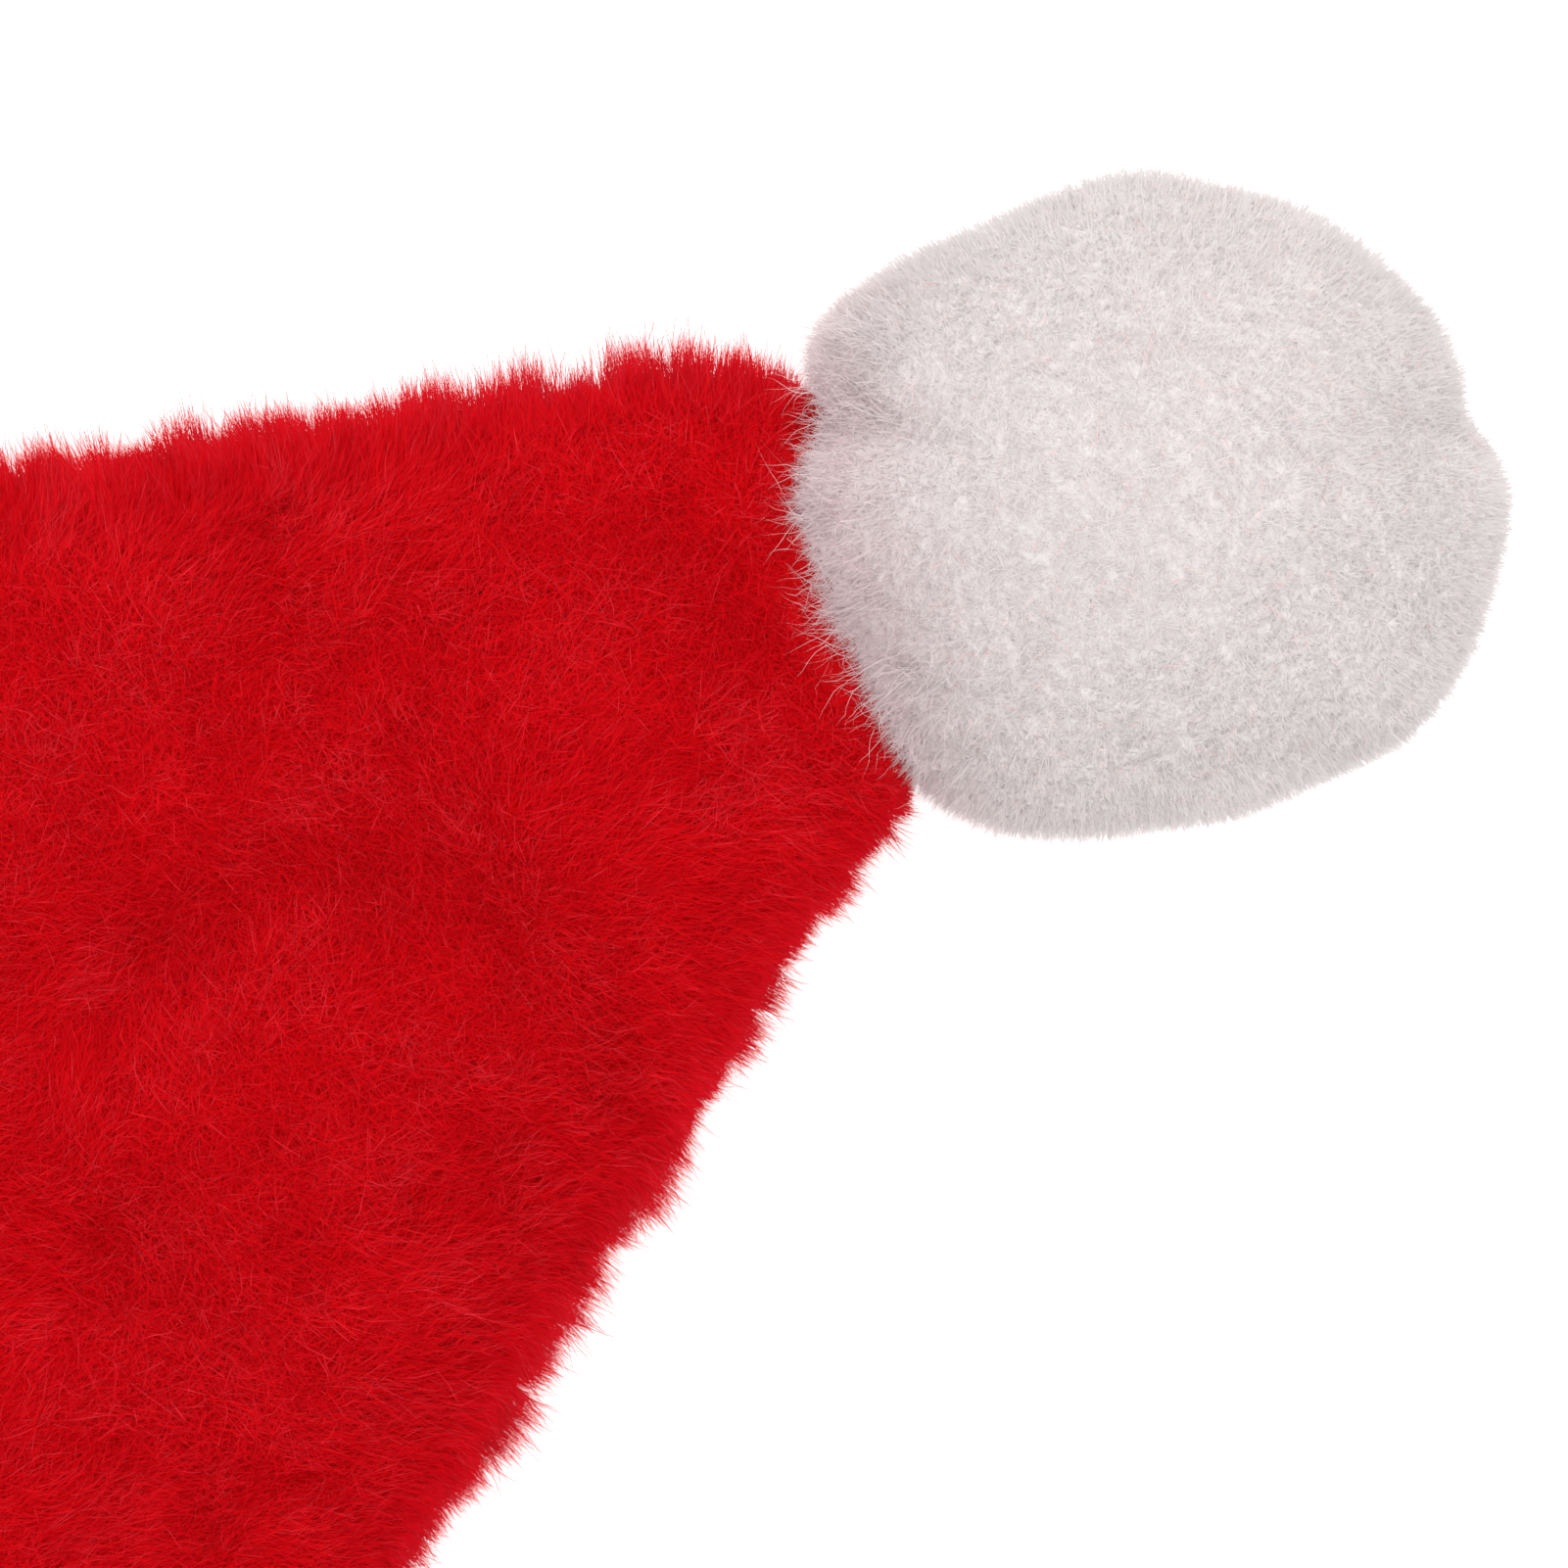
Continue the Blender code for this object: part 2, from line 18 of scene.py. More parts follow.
import bpy
import numpy as np
from numpy.typing import NDArray
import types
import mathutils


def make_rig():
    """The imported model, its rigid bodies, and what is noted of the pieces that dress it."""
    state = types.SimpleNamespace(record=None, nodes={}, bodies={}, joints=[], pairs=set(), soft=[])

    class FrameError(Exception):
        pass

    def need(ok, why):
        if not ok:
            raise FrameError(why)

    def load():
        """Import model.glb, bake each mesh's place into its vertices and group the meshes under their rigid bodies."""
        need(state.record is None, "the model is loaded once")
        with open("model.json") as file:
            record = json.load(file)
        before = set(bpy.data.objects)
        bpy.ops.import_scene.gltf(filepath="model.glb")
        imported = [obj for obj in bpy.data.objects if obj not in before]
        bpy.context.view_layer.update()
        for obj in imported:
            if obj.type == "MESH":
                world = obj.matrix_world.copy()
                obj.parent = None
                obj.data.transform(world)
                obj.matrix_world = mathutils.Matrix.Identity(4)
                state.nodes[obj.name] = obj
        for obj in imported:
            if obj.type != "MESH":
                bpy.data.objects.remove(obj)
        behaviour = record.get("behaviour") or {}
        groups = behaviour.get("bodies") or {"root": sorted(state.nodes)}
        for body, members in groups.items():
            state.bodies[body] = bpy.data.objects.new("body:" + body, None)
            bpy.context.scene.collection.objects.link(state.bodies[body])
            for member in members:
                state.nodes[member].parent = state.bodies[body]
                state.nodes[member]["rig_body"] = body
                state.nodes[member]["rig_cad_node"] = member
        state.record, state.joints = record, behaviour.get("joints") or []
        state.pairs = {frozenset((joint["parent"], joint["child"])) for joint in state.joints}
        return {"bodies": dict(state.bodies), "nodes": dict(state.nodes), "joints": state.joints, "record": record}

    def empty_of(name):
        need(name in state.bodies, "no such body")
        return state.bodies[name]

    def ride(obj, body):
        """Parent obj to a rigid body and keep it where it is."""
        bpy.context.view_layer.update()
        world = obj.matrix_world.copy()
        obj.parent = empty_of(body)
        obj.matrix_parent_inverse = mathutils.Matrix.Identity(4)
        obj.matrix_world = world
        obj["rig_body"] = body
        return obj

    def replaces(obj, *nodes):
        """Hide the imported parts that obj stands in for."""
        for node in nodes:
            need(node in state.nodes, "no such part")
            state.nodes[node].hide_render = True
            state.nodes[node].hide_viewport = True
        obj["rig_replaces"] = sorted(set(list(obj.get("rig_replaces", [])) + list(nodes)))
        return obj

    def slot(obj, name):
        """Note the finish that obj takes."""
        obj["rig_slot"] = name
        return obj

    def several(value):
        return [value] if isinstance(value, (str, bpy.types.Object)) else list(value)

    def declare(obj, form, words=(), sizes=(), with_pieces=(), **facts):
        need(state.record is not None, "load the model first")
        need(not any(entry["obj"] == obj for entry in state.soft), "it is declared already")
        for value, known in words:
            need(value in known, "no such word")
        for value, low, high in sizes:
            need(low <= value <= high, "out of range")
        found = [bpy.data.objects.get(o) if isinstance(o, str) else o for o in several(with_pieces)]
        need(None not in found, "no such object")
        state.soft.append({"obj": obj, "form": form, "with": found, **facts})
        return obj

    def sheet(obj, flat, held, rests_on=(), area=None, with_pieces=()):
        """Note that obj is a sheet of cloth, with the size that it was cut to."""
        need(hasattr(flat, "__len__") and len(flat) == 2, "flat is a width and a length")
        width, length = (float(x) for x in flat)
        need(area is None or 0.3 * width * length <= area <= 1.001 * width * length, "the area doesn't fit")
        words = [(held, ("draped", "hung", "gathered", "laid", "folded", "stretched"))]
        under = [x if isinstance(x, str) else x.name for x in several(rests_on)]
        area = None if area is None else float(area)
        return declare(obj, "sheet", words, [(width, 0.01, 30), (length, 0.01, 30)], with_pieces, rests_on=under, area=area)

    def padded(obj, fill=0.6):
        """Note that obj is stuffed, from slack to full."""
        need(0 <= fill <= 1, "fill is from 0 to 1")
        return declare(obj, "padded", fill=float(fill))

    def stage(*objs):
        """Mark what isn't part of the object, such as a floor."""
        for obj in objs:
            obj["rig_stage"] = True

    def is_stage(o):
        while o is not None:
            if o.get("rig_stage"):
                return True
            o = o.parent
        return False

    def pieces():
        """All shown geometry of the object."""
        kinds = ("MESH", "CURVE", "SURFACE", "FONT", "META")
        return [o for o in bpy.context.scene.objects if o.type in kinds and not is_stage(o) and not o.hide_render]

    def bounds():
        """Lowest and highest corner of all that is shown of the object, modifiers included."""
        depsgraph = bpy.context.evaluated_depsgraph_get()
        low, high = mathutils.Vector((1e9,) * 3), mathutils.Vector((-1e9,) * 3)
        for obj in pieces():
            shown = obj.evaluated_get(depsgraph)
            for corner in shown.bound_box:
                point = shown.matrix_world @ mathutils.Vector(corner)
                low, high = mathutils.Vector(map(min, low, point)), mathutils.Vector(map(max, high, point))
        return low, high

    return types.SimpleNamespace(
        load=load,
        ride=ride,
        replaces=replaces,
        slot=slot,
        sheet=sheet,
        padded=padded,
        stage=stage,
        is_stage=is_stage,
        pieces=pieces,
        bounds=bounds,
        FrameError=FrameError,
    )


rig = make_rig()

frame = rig.load()
CAD_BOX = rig.bounds()

Array = NDArray[np.float64]
Colour = tuple[float, float, float]

MM = 0.001
SIZE_FILE = Path("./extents.json")
BODY = "root"
UV_MAP = "OFBake"
TIP_ATTRIBUTE = "tip"
SHADE_ATTRIBUTE = "shade"
UP = np.array([0.0, 0.0, 1.0])
WAVE_COUNT = 9
CORRECTIONS = 40
# What full ruffle adds to a fibre's stray in degrees, and what full spikiness adds to unlike_tufts and to gather
RUFFLED_STRAY = 65.0
SPIKY_UNLIKE = 0.5
SPIKY_GATHER = 0.35
# In mm: how low the surfaces, the pile's spines, the lint's and any fibre's edges may come over the floor
FLOOR_GAP = 0.6
PILE_FLOOR = 0.25
LINT_FLOOR = 0.3
EDGE_FLOOR = 0.05
# In mm: the Y from which from_tip counts, and the from_tip of the band's upper edge and of the crown's cut edge
TIP_Y = 176.2
SEAM_LINE = 297.0
CROWN_EDGE = 313.0
# In mm: where the crown's nose meets the pompom, round which the pompom's pile takes on painted red bounce light
NOSE = (0.0, TIP_Y - 48.0, 36.0)
LOG = logging.getLogger("santa_hat")


def smooth_step(low: float, high: float, value: Array) -> Array:
    """A smooth rise: 0 below low, 1 above high, and 3s^2 - 2s^3 of the share s of the way between them.

    Args:
        low: where the rise starts.
        high: where it ends.
        value: the numbers to rise over.

    Returns:
        A number from 0 to 1 for each value.
    """
    share = np.clip((value - low) / (high - low), 0.0, 1.0)
    return share * share * (3.0 - 2.0 * share)


def unit(vectors: Array) -> Array:
    """The vectors along the last axis, scaled to length 1."""
    return vectors / np.maximum(np.linalg.norm(vectors, axis=-1, keepdims=True), 1e-9)


def dot(first: Array, second: Array) -> Array:
    """The dot product along the last axis, which is kept with length 1."""
    return (first * second).sum(axis=-1, keepdims=True)


def on_floor(places: Array, height: float = FLOOR_GAP) -> Array:
    """Places in mm with none lower than a height over the floor, on which the hat lies pressed."""
    return np.concatenate((places[..., :2], np.maximum(places[..., 2:], height)), axis=-1)


def row_means(values: Array) -> Array:
    """The mean of each row and the next, which is the value half way between them."""
    return (values[1:] + values[:-1]) / 2.0


def aside(directions: Array, shift: float) -> Array:
    """A vector square to each direction: its cross product with its own shifted x, y and z in turned order."""
    return np.cross(directions, np.roll(directions, 1, axis=-1) + shift)


def waves(points: Array, span: float, seed: int) -> Array:
    """A smooth random field: the sum of a few sines along random directions, scaled to a spread of 1.

    Args:
        points: places in mm, with x, y and z along the last axis.
        span: about how far apart, in mm, its highs are.
        seed: which field it is.

    Returns:
        A number for each point, mostly between -2 and 2.
    """
    random = np.random.default_rng(seed)
    pushes = unit(random.normal(size=(WAVE_COUNT, 3))) * random.uniform(0.7, 1.4, (WAVE_COUNT, 1))
    phases = random.uniform(0.0, 2.0 * math.pi, WAVE_COUNT)
    total = np.zeros(points.shape[:-1])
    for push, phase in zip(pushes, phases):
        total += np.sin(points @ push * (2.0 * math.pi / span) + phase)
    return total / math.sqrt(WAVE_COUNT / 2.0)


@dataclass(frozen=True)
class Section:
    """The outer face of the cloth at one place: its reach to each side, and its lowest and highest point."""

    from_tip: float
    left: float
    right: float
    bottom: float
    top: float


@dataclass(frozen=True)
class Fold:
    """A dent (depth above 0) or swell (below 0) of the upper side, spread along a turned line and across it."""

    from_tip: float
    across: float
    length: float
    width: float
    turn: float
    depth: float


@dataclass(frozen=True)
class Lump:
    """A lump (height above 0) or notch (below 0) of the pompom's outline at a bearing, and its spread in degrees."""

    bearing: float
    height: float
    spread: float


@dataclass
class Patch:
    """A surface on a grid whose columns run once round it, with its outward normals and the way of its nap.

    Attributes:
        places: points in mm, as rows by columns by 3.
        normals: the outward unit normal at each.
        nap: a unit direction along the surface at each.
    """

    places: Array
    normals: Array
    nap: Array

    @classmethod
    def of(cls, places: Array) -> "Patch":
        """Works out normals and nap from the places alone.

        The normal is the cross product of the step to the next column and the step to the next row. The nap runs
        against the rows.

        Args:
            places: points in mm, as rows by columns by 3.

        Returns:
            The patch.
        """
        down = np.gradient(places, axis=0)
        round_it = np.roll(places, -1, axis=1) - np.roll(places, 1, axis=1)
        normals = unit(np.cross(round_it, down))
        return cls(places, normals, unit(-down))

    def cell_areas(self) -> Array:
        """The area in mm2 of each cell between two rows and two columns, as half the cross of its diagonals."""
        here, beside = self.places, np.roll(self.places, -1, axis=1)
        cross = np.cross(beside[1:] - here[:-1], beside[:-1] - here[1:])
        return np.linalg.norm(cross, axis=2) / 2.0

    def pressed(self, free: float, flat: float) -> Array:
        """How far each cell is pressed on the floor, from 0 to 1: it faces down, and lies low.

        Args:
            free: the height in mm from which a cell isn't pressed.
            flat: the height up to which it is pressed fully.

        Returns:
            The shares, as rows - 1 by columns.
        """
        return smooth_step(-0.1, -0.7, row_means(self.normals)[..., 2]) * smooth_step(
            free, flat, row_means(self.places)[..., 2])

    def scatter(self, count: int, density: Array, random: np.random.Generator) -> "Roots":
        """Spreads roots over the patch.

        Each root's cell is drawn by its share of area times density, and its place in the cell is even.

        Args:
            count: how many roots.
            density: a weight for each cell, as rows - 1 by columns.
            random: the source of chance.

        Returns:
            The roots.
        """
        weight = (self.cell_areas() * density).ravel()
        edges = np.cumsum(weight)
        # Even steps with a random part in each spread the roots more evenly than free draws
        draws = (np.arange(count) + random.uniform(0.0, 1.0, count)) / count * edges[-1]
        cell = np.minimum(np.searchsorted(edges, draws), len(weight) - 1)
        row, column = np.divmod(cell, self.places.shape[1])
        beside = (column + 1) % self.places.shape[1]
        a, b = random.uniform(0.0, 1.0, (2, count, 1))

        def between(values: Array) -> Array:
            """The values at the roots, straight between the cell's corners."""
            near = values[row, column] * (1.0 - a) + values[row, beside] * a
            far = values[row + 1, column] * (1.0 - a) + values[row + 1, beside] * a
            return near * (1.0 - b) + far * b

        return Roots(between(self.places), unit(between(self.normals)), unit(between(self.nap)))


class PerFibre:
    """Arrays that have one row for each fibre."""

    def pick(self, chosen: NDArray) -> Self:
        """The rows that an index or mask chooses."""
        return type(self)(*(getattr(self, each.name)[chosen] for each in fields(self)))


@dataclass
class Roots(PerFibre):
    """Where fibres start: their places in mm, the surface's normals there and the way of the nap."""

    places: Array
    normals: Array
    nap: Array

    def __len__(self) -> int:
        """How many roots there are."""
        return len(self.places)


@dataclass
class Groom(PerFibre):
    """How each fibre differs from the rest of its sort.

    Attributes:
        room: the share of its length that it may have.
        lean: the share of its lean, below 0 for a lean against the nap.
        ruffle: how ruffled it is, from 0 for smooth nap to 1 for fibres that point every way.
        spiky: how strongly it gathers in tufts of unlike lengths, from 0 to 1.
    """

    room: Array
    lean: Array
    ruffle: Array
    spiky: Array


@dataclass(frozen=True)
class Tufts:
    """Points scattered through space, to which the tips of the fibres round them gather.

    Attributes:
        spacing: about how far apart the points are, in mm.
        seed: which scatter it is.
    """

    spacing: float
    seed: int

    def chances(self, cubes: NDArray) -> Array:
        """Four random numbers from 0 to 1 for each cube, by folding its whole-number place with large primes."""
        primes = np.array([73856093, 19349663, 83492791], dtype=np.int64)
        mixed = ((cubes * primes).sum(axis=1) + self.seed * 2654435761).astype(np.uint64)
        found = []
        for _ in range(4):
            mixed ^= mixed >> np.uint64(33)
            mixed *= np.uint64(0xFF51AFD7ED558CCD)
            mixed ^= mixed >> np.uint64(29)
            found.append((mixed >> np.uint64(11)).astype(np.float64) / 2.0**53)
        return np.column_stack(found)

    def nearest(self, points: Array) -> tuple[Array, Array]:
        """The tuft that each point belongs to.

        Space is cut into cubes of the spacing, each with one tuft at a random place in it. Of the 27 cubes round a
        point's own, the one whose tuft is nearest wins.

        Args:
            points: places in mm.

        Returns:
            The vector from each point to its tuft, and a random number from 0 to 1 that the whole tuft shares.
        """
        own = np.floor(points / self.spacing).astype(np.int64)
        nearest = np.full(len(points), np.inf)
        towards = np.zeros_like(points)
        chance = np.zeros(len(points))
        for step in itertools.product((-1, 0, 1), repeat=3):
            cube = own + np.array(step)
            drawn = self.chances(cube)
            away = (cube + drawn[:, :3]) * self.spacing - points
            distance = (away * away).sum(axis=1)
            closer = distance < nearest
            nearest[closer] = distance[closer]
            towards[closer] = away[closer]
            chance[closer] = drawn[closer, 3]
        return towards, chance


@dataclass(frozen=True)
class Fibre:
    """One sort of fibre.

    Attributes:
        share: its share of the pile's triangles.
        points: how many points its spine has, 2 for a straight one.
        length: its full length, in mm.
        uneven: the lowest and highest share of the length that a fibre has.
        width: how wide it is at its root, in mm.
        lean: how far it leans over along the nap at its root and at its tip, in degrees.
        stray: how far it strays from the nap's direction, in degrees.
        curl: how far, in mm, a spine point wanders off.
        gather: how far its tip is drawn to its wisp and to its tuft, from 0 to 1.
    """

    share: float
    points: int
    length: float
    uneven: tuple[float, float]
    width: float
    lean: tuple[float, float]
    stray: float
    curl: float = 0.0
    gather: tuple[float, float] = (0.0, 0.0)

    @property
    def triangles(self) -> int:
        """The triangles of one fibre: two for each step of its spine but the last, which has one."""
        return 2 * (self.points - 2) + 1


@dataclass
class Strands:
    """Grown fibres as the arrays of a mesh of triangles.

    Attributes:
        verts: vertex places in mm.
        faces: three vertex numbers a triangle.
        normals: the shading normal of each vertex.
        tip: 0 at the root and 1 at the tip, for each vertex.
        shade: a random number from 0 to 1 that a fibre's vertices share.
        corner_fibre: the fibre's number, for each face corner.
        corner_place: where each face corner lies in the fibre's cell of the map.
    """

    verts: Array
    faces: NDArray
    normals: Array
    tip: Array
    shade: Array
    corner_fibre: NDArray
    corner_place: Array

    @classmethod
    def ribbons(cls, spine: Array, outward: Array, width: Array, shade: Array, roll: Array,
                tilt: float = 0.0, lift: float = 0.0) -> "Strands":
        """Ribbons along spines, as wide as given at the root and narrowing evenly to a point.

        Unrolled, a ribbon's width runs along the cross product of its direction and the outward way, so that its
        face points out as far as it can. Its shading normal is the sum of the outward way, a share of the face's
        own normal, and a share of the part of straight up that is square to the fibre, because a round fibre that
        lies across the light catches it from above.

        Args:
            spine: the spine points in mm, as fibres by points by 3.
            outward: the surface's normal under each fibre.
            width: each fibre's width at its root, in mm.
            shade: a random number for each fibre.
            roll: how far each ribbon is turned about its own length, in radians.
            tilt: the share of the face's own normal in the shading normal.
            lift: the share of straight up in it.

        Returns:
            The strands.
        """
        count, points = spine.shape[:2]
        ahead = unit(np.diff(spine, axis=1))
        ahead = np.concatenate((ahead, ahead[:, -1:]), axis=1)
        out = np.broadcast_to(outward[:, None, :], spine.shape)
        # A little of another direction keeps the width defined where a fibre stands straight out
        across = unit(np.cross(ahead, out) + 0.12 * unit(aside(out, 0.37)))
        face = np.cross(across, ahead)
        roll = roll[:, None, None]
        side = across * np.cos(roll) + face * np.sin(roll)
        shading = unit(out * (1.0 - tilt) + face * tilt + lift * (UP - ahead * dot(ahead, UP)))
        along = np.linspace(0.0, 1.0, points)
        half = side[:, :-1] * (0.5 * width[:, None] * (1.0 - along[:-1]))[..., None]
        pairs = np.stack((spine[:, :-1] - half, spine[:, :-1] + half), axis=2).reshape(count, -1, 3)
        verts = on_floor(np.concatenate((pairs, spine[:, -1:]), axis=1), EDGE_FLOOR)
        normals = np.concatenate((np.repeat(shading[:, :-1], 2, axis=1), shading[:, -1:]), axis=1)
        tip = np.append(np.repeat(along[:-1], 2), 1.0)
        steps = 2 * np.arange(points - 2)
        pattern = np.concatenate((
            np.column_stack((steps, steps + 1, steps + 2)),
            np.column_stack((steps + 1, steps + 3, steps + 2)),
            [[2 * points - 4, 2 * points - 3, 2 * points - 2]],
        ))
        each = 2 * points - 1
        faces = (pattern[None] + each * np.arange(count)[:, None, None]).reshape(-1, 3)
        left = np.append(np.tile([0.0, 1.0], points - 1), 0.5)
        place = np.column_stack((left, tip))[pattern.ravel()]
        return cls(
            verts.reshape(-1, 3), faces, normals.reshape(-1, 3), np.tile(tip, count), np.repeat(shade, each),
            np.repeat(np.arange(count), pattern.size), np.tile(place, (count, 1)),
        )

    @classmethod
    def joined(cls, parts: list["Strands"]) -> "Strands":
        """Several strands as one, with their vertices and fibres numbered on."""
        starts = {
            "faces": np.cumsum([0] + [len(part.verts) for part in parts]),
            "corner_fibre": np.cumsum([0] + [int(part.corner_fibre.max()) + 1 for part in parts]),
        }
        joined = []
        for each in fields(cls):
            start = starts.get(each.name, np.zeros(len(parts), dtype=np.int64))
            joined.append(np.concatenate([getattr(part, each.name) + first for part, first in zip(parts, start)]))
        return cls(*joined)

    def uv(self) -> Array:
        """Each corner's place on the map, on which every fibre fills a square cell of its own, row by row."""
        across = math.ceil(math.sqrt(int(self.corner_fibre.max()) + 1))
        row, column = np.divmod(self.corner_fibre, across)
        return (np.column_stack((column, row)) + 0.06 + 0.88 * self.corner_place) / across


@dataclass(frozen=True)
class Pile:
    """A pile of several sorts of fibre in tufts.

    Attributes:
        sorts: the sorts of fibre in it.
        triangles: how many triangles it may have in all.
        wisps: the small wisps that its fibres gather in.
        tufts: the larger tufts.
        unlike_tufts: how much the tufts' lengths differ, as a share.
        swirl: how far the nap turns with the two sizes of swirl, in degrees.
        swirl_span: the sizes of the swirls, in mm.
        roll: how far its ribbons are turned about their length, in degrees.
        seed: its source of chance.
        tilt: the share of a fibre's own face in its shading.
        lift: the share of straight up in its shading.
    """

    sorts: tuple[Fibre, ...]
    triangles: int
    wisps: Tufts
    tufts: Tufts
    unlike_tufts: float
    swirl: tuple[float, float]
    swirl_span: tuple[float, float]
    roll: float
    seed: int
    tilt: float = 0.0
    lift: float = 0.5

    def grow(self, roots: Roots, sort: Fibre, groom: Groom, random: np.random.Generator) -> Strands:
        """Grows one fibre on each root.

        A spine starts at the root and takes equal steps. Each step goes along cos(lean) times the normal plus
        sin(lean) times the nap, turned about the normal by the swirl and the stray, and the lean grows along the
        spine. Then the points are drawn towards the wisp and the tuft, by the share along the spine to the power 1.5.

        Args:
            roots: where the fibres start.
            sort: their sort.
            groom: how each fibre is groomed.
            random: the source of chance.

        Returns:
            The strands.
        """
        count = len(roots)
        normal, nap = roots.normals, roots.nap
        to_wisp, _ = self.wisps.nearest(roots.places)
        to_tuft, chance = self.tufts.nearest(roots.places)
        turn = sum(
            amount * waves(roots.places, span, self.seed + number)
            for number, (amount, span) in enumerate(zip(self.swirl, self.swirl_span))
        )
        turn = np.radians(turn + random.normal(0.0, 1.0, count) * (sort.stray + RUFFLED_STRAY * groom.ruffle))[:, None]
        nap = unit(nap - normal * dot(nap, normal))
        level = nap * np.cos(turn) + np.cross(normal, nap) * np.sin(turn)
        unlike = (chance - 0.5) * (self.unlike_tufts + SPIKY_UNLIKE * groom.spiky)
        length = sort.length * (1.0 + unlike) * random.uniform(*sort.uneven, count) * groom.room
        step = (length / (sort.points - 1))[:, None]
        tilted = np.radians(random.normal(0.0, 0.5 * sort.stray, count))[:, None]
        spine = [roots.places]
        drift = np.zeros_like(normal)
        for lean in np.radians(np.linspace(*sort.lean, sort.points - 1)):
            drift += sort.curl * random.normal(size=(count, 3))
            leant = groom.lean[:, None] * lean + tilted
            way = normal * np.cos(leant) + level * np.sin(leant)
            spine.append(spine[-1] + unit(way + drift) * step)
        spine = np.stack(spine, axis=1)
        to_tuft *= (sort.gather[1] + SPIKY_GATHER * groom.spiky)[:, None]
        pull = (to_wisp * sort.gather[0] + to_tuft) * random.uniform(0.6, 1.2, (count, 1))
        pull = (pull - normal * dot(pull, normal)) * groom.room[:, None]
        spine = on_floor(spine + pull[:, None, :] * np.linspace(0.0, 1.0, sort.points)[:, None] ** 1.5, PILE_FLOOR)
        shade = np.clip(0.5 + 0.28 * (chance - 0.5) + random.normal(0.0, 0.2, count), 0.0, 1.0)
        width = sort.width * random.uniform(0.75, 1.25, count)
        roll = np.radians(random.normal(0.0, self.roll, count))
        return Strands.ribbons(spine, normal, width, shade, roll, self.tilt, self.lift)

    def cover(self, patch: Patch, density: Array, grooming: "Grooming", pieces: int = 1) -> list[Strands]:
        """Covers a patch with the pile.

        Args:
            patch: the surface to cover.
            density: a weight for each of its cells.
            grooming: how it is groomed from place to place.
            pieces: how many pieces to cut it into, one after the other along the rows.

        Returns:
            The strands of each piece.
        """
        cut: list[list[Strands]] = [[] for _ in range(pieces)]
        for number, sort in enumerate(self.sorts):
            random = np.random.default_rng(self.seed + 100 * number)
            count = int(self.triangles * sort.share / sort.triangles)
            roots = patch.scatter(count, density, random)
            # Roots come in the order of the patch's rows, so even parts of them are bands of the surface
            for part, chosen in zip(cut, np.array_split(np.arange(count), pieces)):
                picked = roots.pick(chosen)
                groom = grooming.at(picked)
                kept = groom.room > 0.05
                part.append(self.grow(picked.pick(kept), sort, groom.pick(kept), random))
        return [Strands.joined(parts) for parts in cut]


class Grooming:
    """How the pile is groomed: the same everywhere."""

    def at(self, roots: Roots) -> "Groom":
        """The grooming of the fibre on each root."""
        ones = np.ones(len(roots))
        return Groom(ones, ones, 0.0 * ones, 0.0 * ones)


class Side(Enum):
    """Which of a piece's two materials a face wears."""

    OUTSIDE = 0
    INSIDE = 1


def quads_to_mesh(name: str, rings: Array, start: Array | None, end: Array | None, loop: bool,
                  inside_from: int | None = None) -> bpy.types.Object:
    """A closed skin over rings of points, with a fan at each end or the last ring joined to the first.

    Args:
        name: the object's name.
        rings: points in mm, as rings by columns by 3, each ring closed.
        start: the pole before the first ring, or None.
        end: the pole after the last ring, or None.
        loop: whether the last ring joins the first.
        inside_from: the ring from which on faces wear the second material.

    Returns:
        The object, with its map named UV_MAP, on which u runs round the rings and v along them.
    """
    rows, columns = rings.shape[:2]
    row = np.arange(rows if loop else rows - 1)[:, None]
    column = np.arange(columns)[None, :]
    number = np.arange(rows * columns).reshape(rows, columns)
    after, beside = (row + 1) % rows, (column + 1) % columns
    quads = np.stack((number[row, column], number[row, beside], number[after, beside], number[after, column]), axis=2)
    u, v = np.broadcast_arrays(column / columns, (row + 0.5) / (rows + 1))
    du, dv = 1.0 / columns, 1.0 / (rows + 1)
    quad_uv = np.stack((u, v, u + du, v, u + du, v + dv, u, v + dv), axis=2)
    verts = [rings.reshape(-1, 3)]
    loops, uvs, sizes = [quads.ravel()], [quad_uv.ravel()], [np.full(quads[..., 0].size, 4)]
    ring_of_face = [np.repeat(np.arange(len(row)), columns)]
    across = np.arange(columns)
    for pole, ring, flip in ((start, 0, True), (end, rows - 1, False)):
        if pole is None:
            continue
        tip = np.full(columns, rows * columns + len(verts) - 1)
        verts.append(np.asarray(pole, dtype=float)[None])
        first, second = number[ring, across], number[ring, (across + 1) % columns]
        edge, peak = (0.5 / (rows + 1), 0.0) if flip else ((rows - 0.5) / (rows + 1), 1.0)
        level, top = np.full(columns, edge), np.full(columns, peak)
        # The corners turn the other way round at the start, so that every face points outwards
        order = slice(None, None, -1 if flip else 1)
        loops.append(np.column_stack((first, second, tip)[order]).ravel())
        places = np.stack((across, level, across + 1, level, across + 0.5, top), axis=1).reshape(columns, 3, 2)
        places[..., 0] /= columns
        uvs.append(places[:, order].ravel())
        sizes.append(np.full(columns, 3))
        ring_of_face.append(np.full(columns, ring))
    made = make_mesh(name, np.concatenate(verts), np.concatenate(loops), np.concatenate(sizes), np.concatenate(uvs))
    if inside_from is not None:
        side = np.where(np.concatenate(ring_of_face) >= inside_from, Side.INSIDE.value, Side.OUTSIDE.value)
        made.data.polygons.foreach_set("material_index", side.astype(np.int32))
    return made


def add_object(name: str, data: bpy.types.ID) -> bpy.types.Object:
    """Adds an object with its data to the scene."""
    made = bpy.data.objects.new(name, data)
    bpy.context.scene.collection.objects.link(made)
    return made


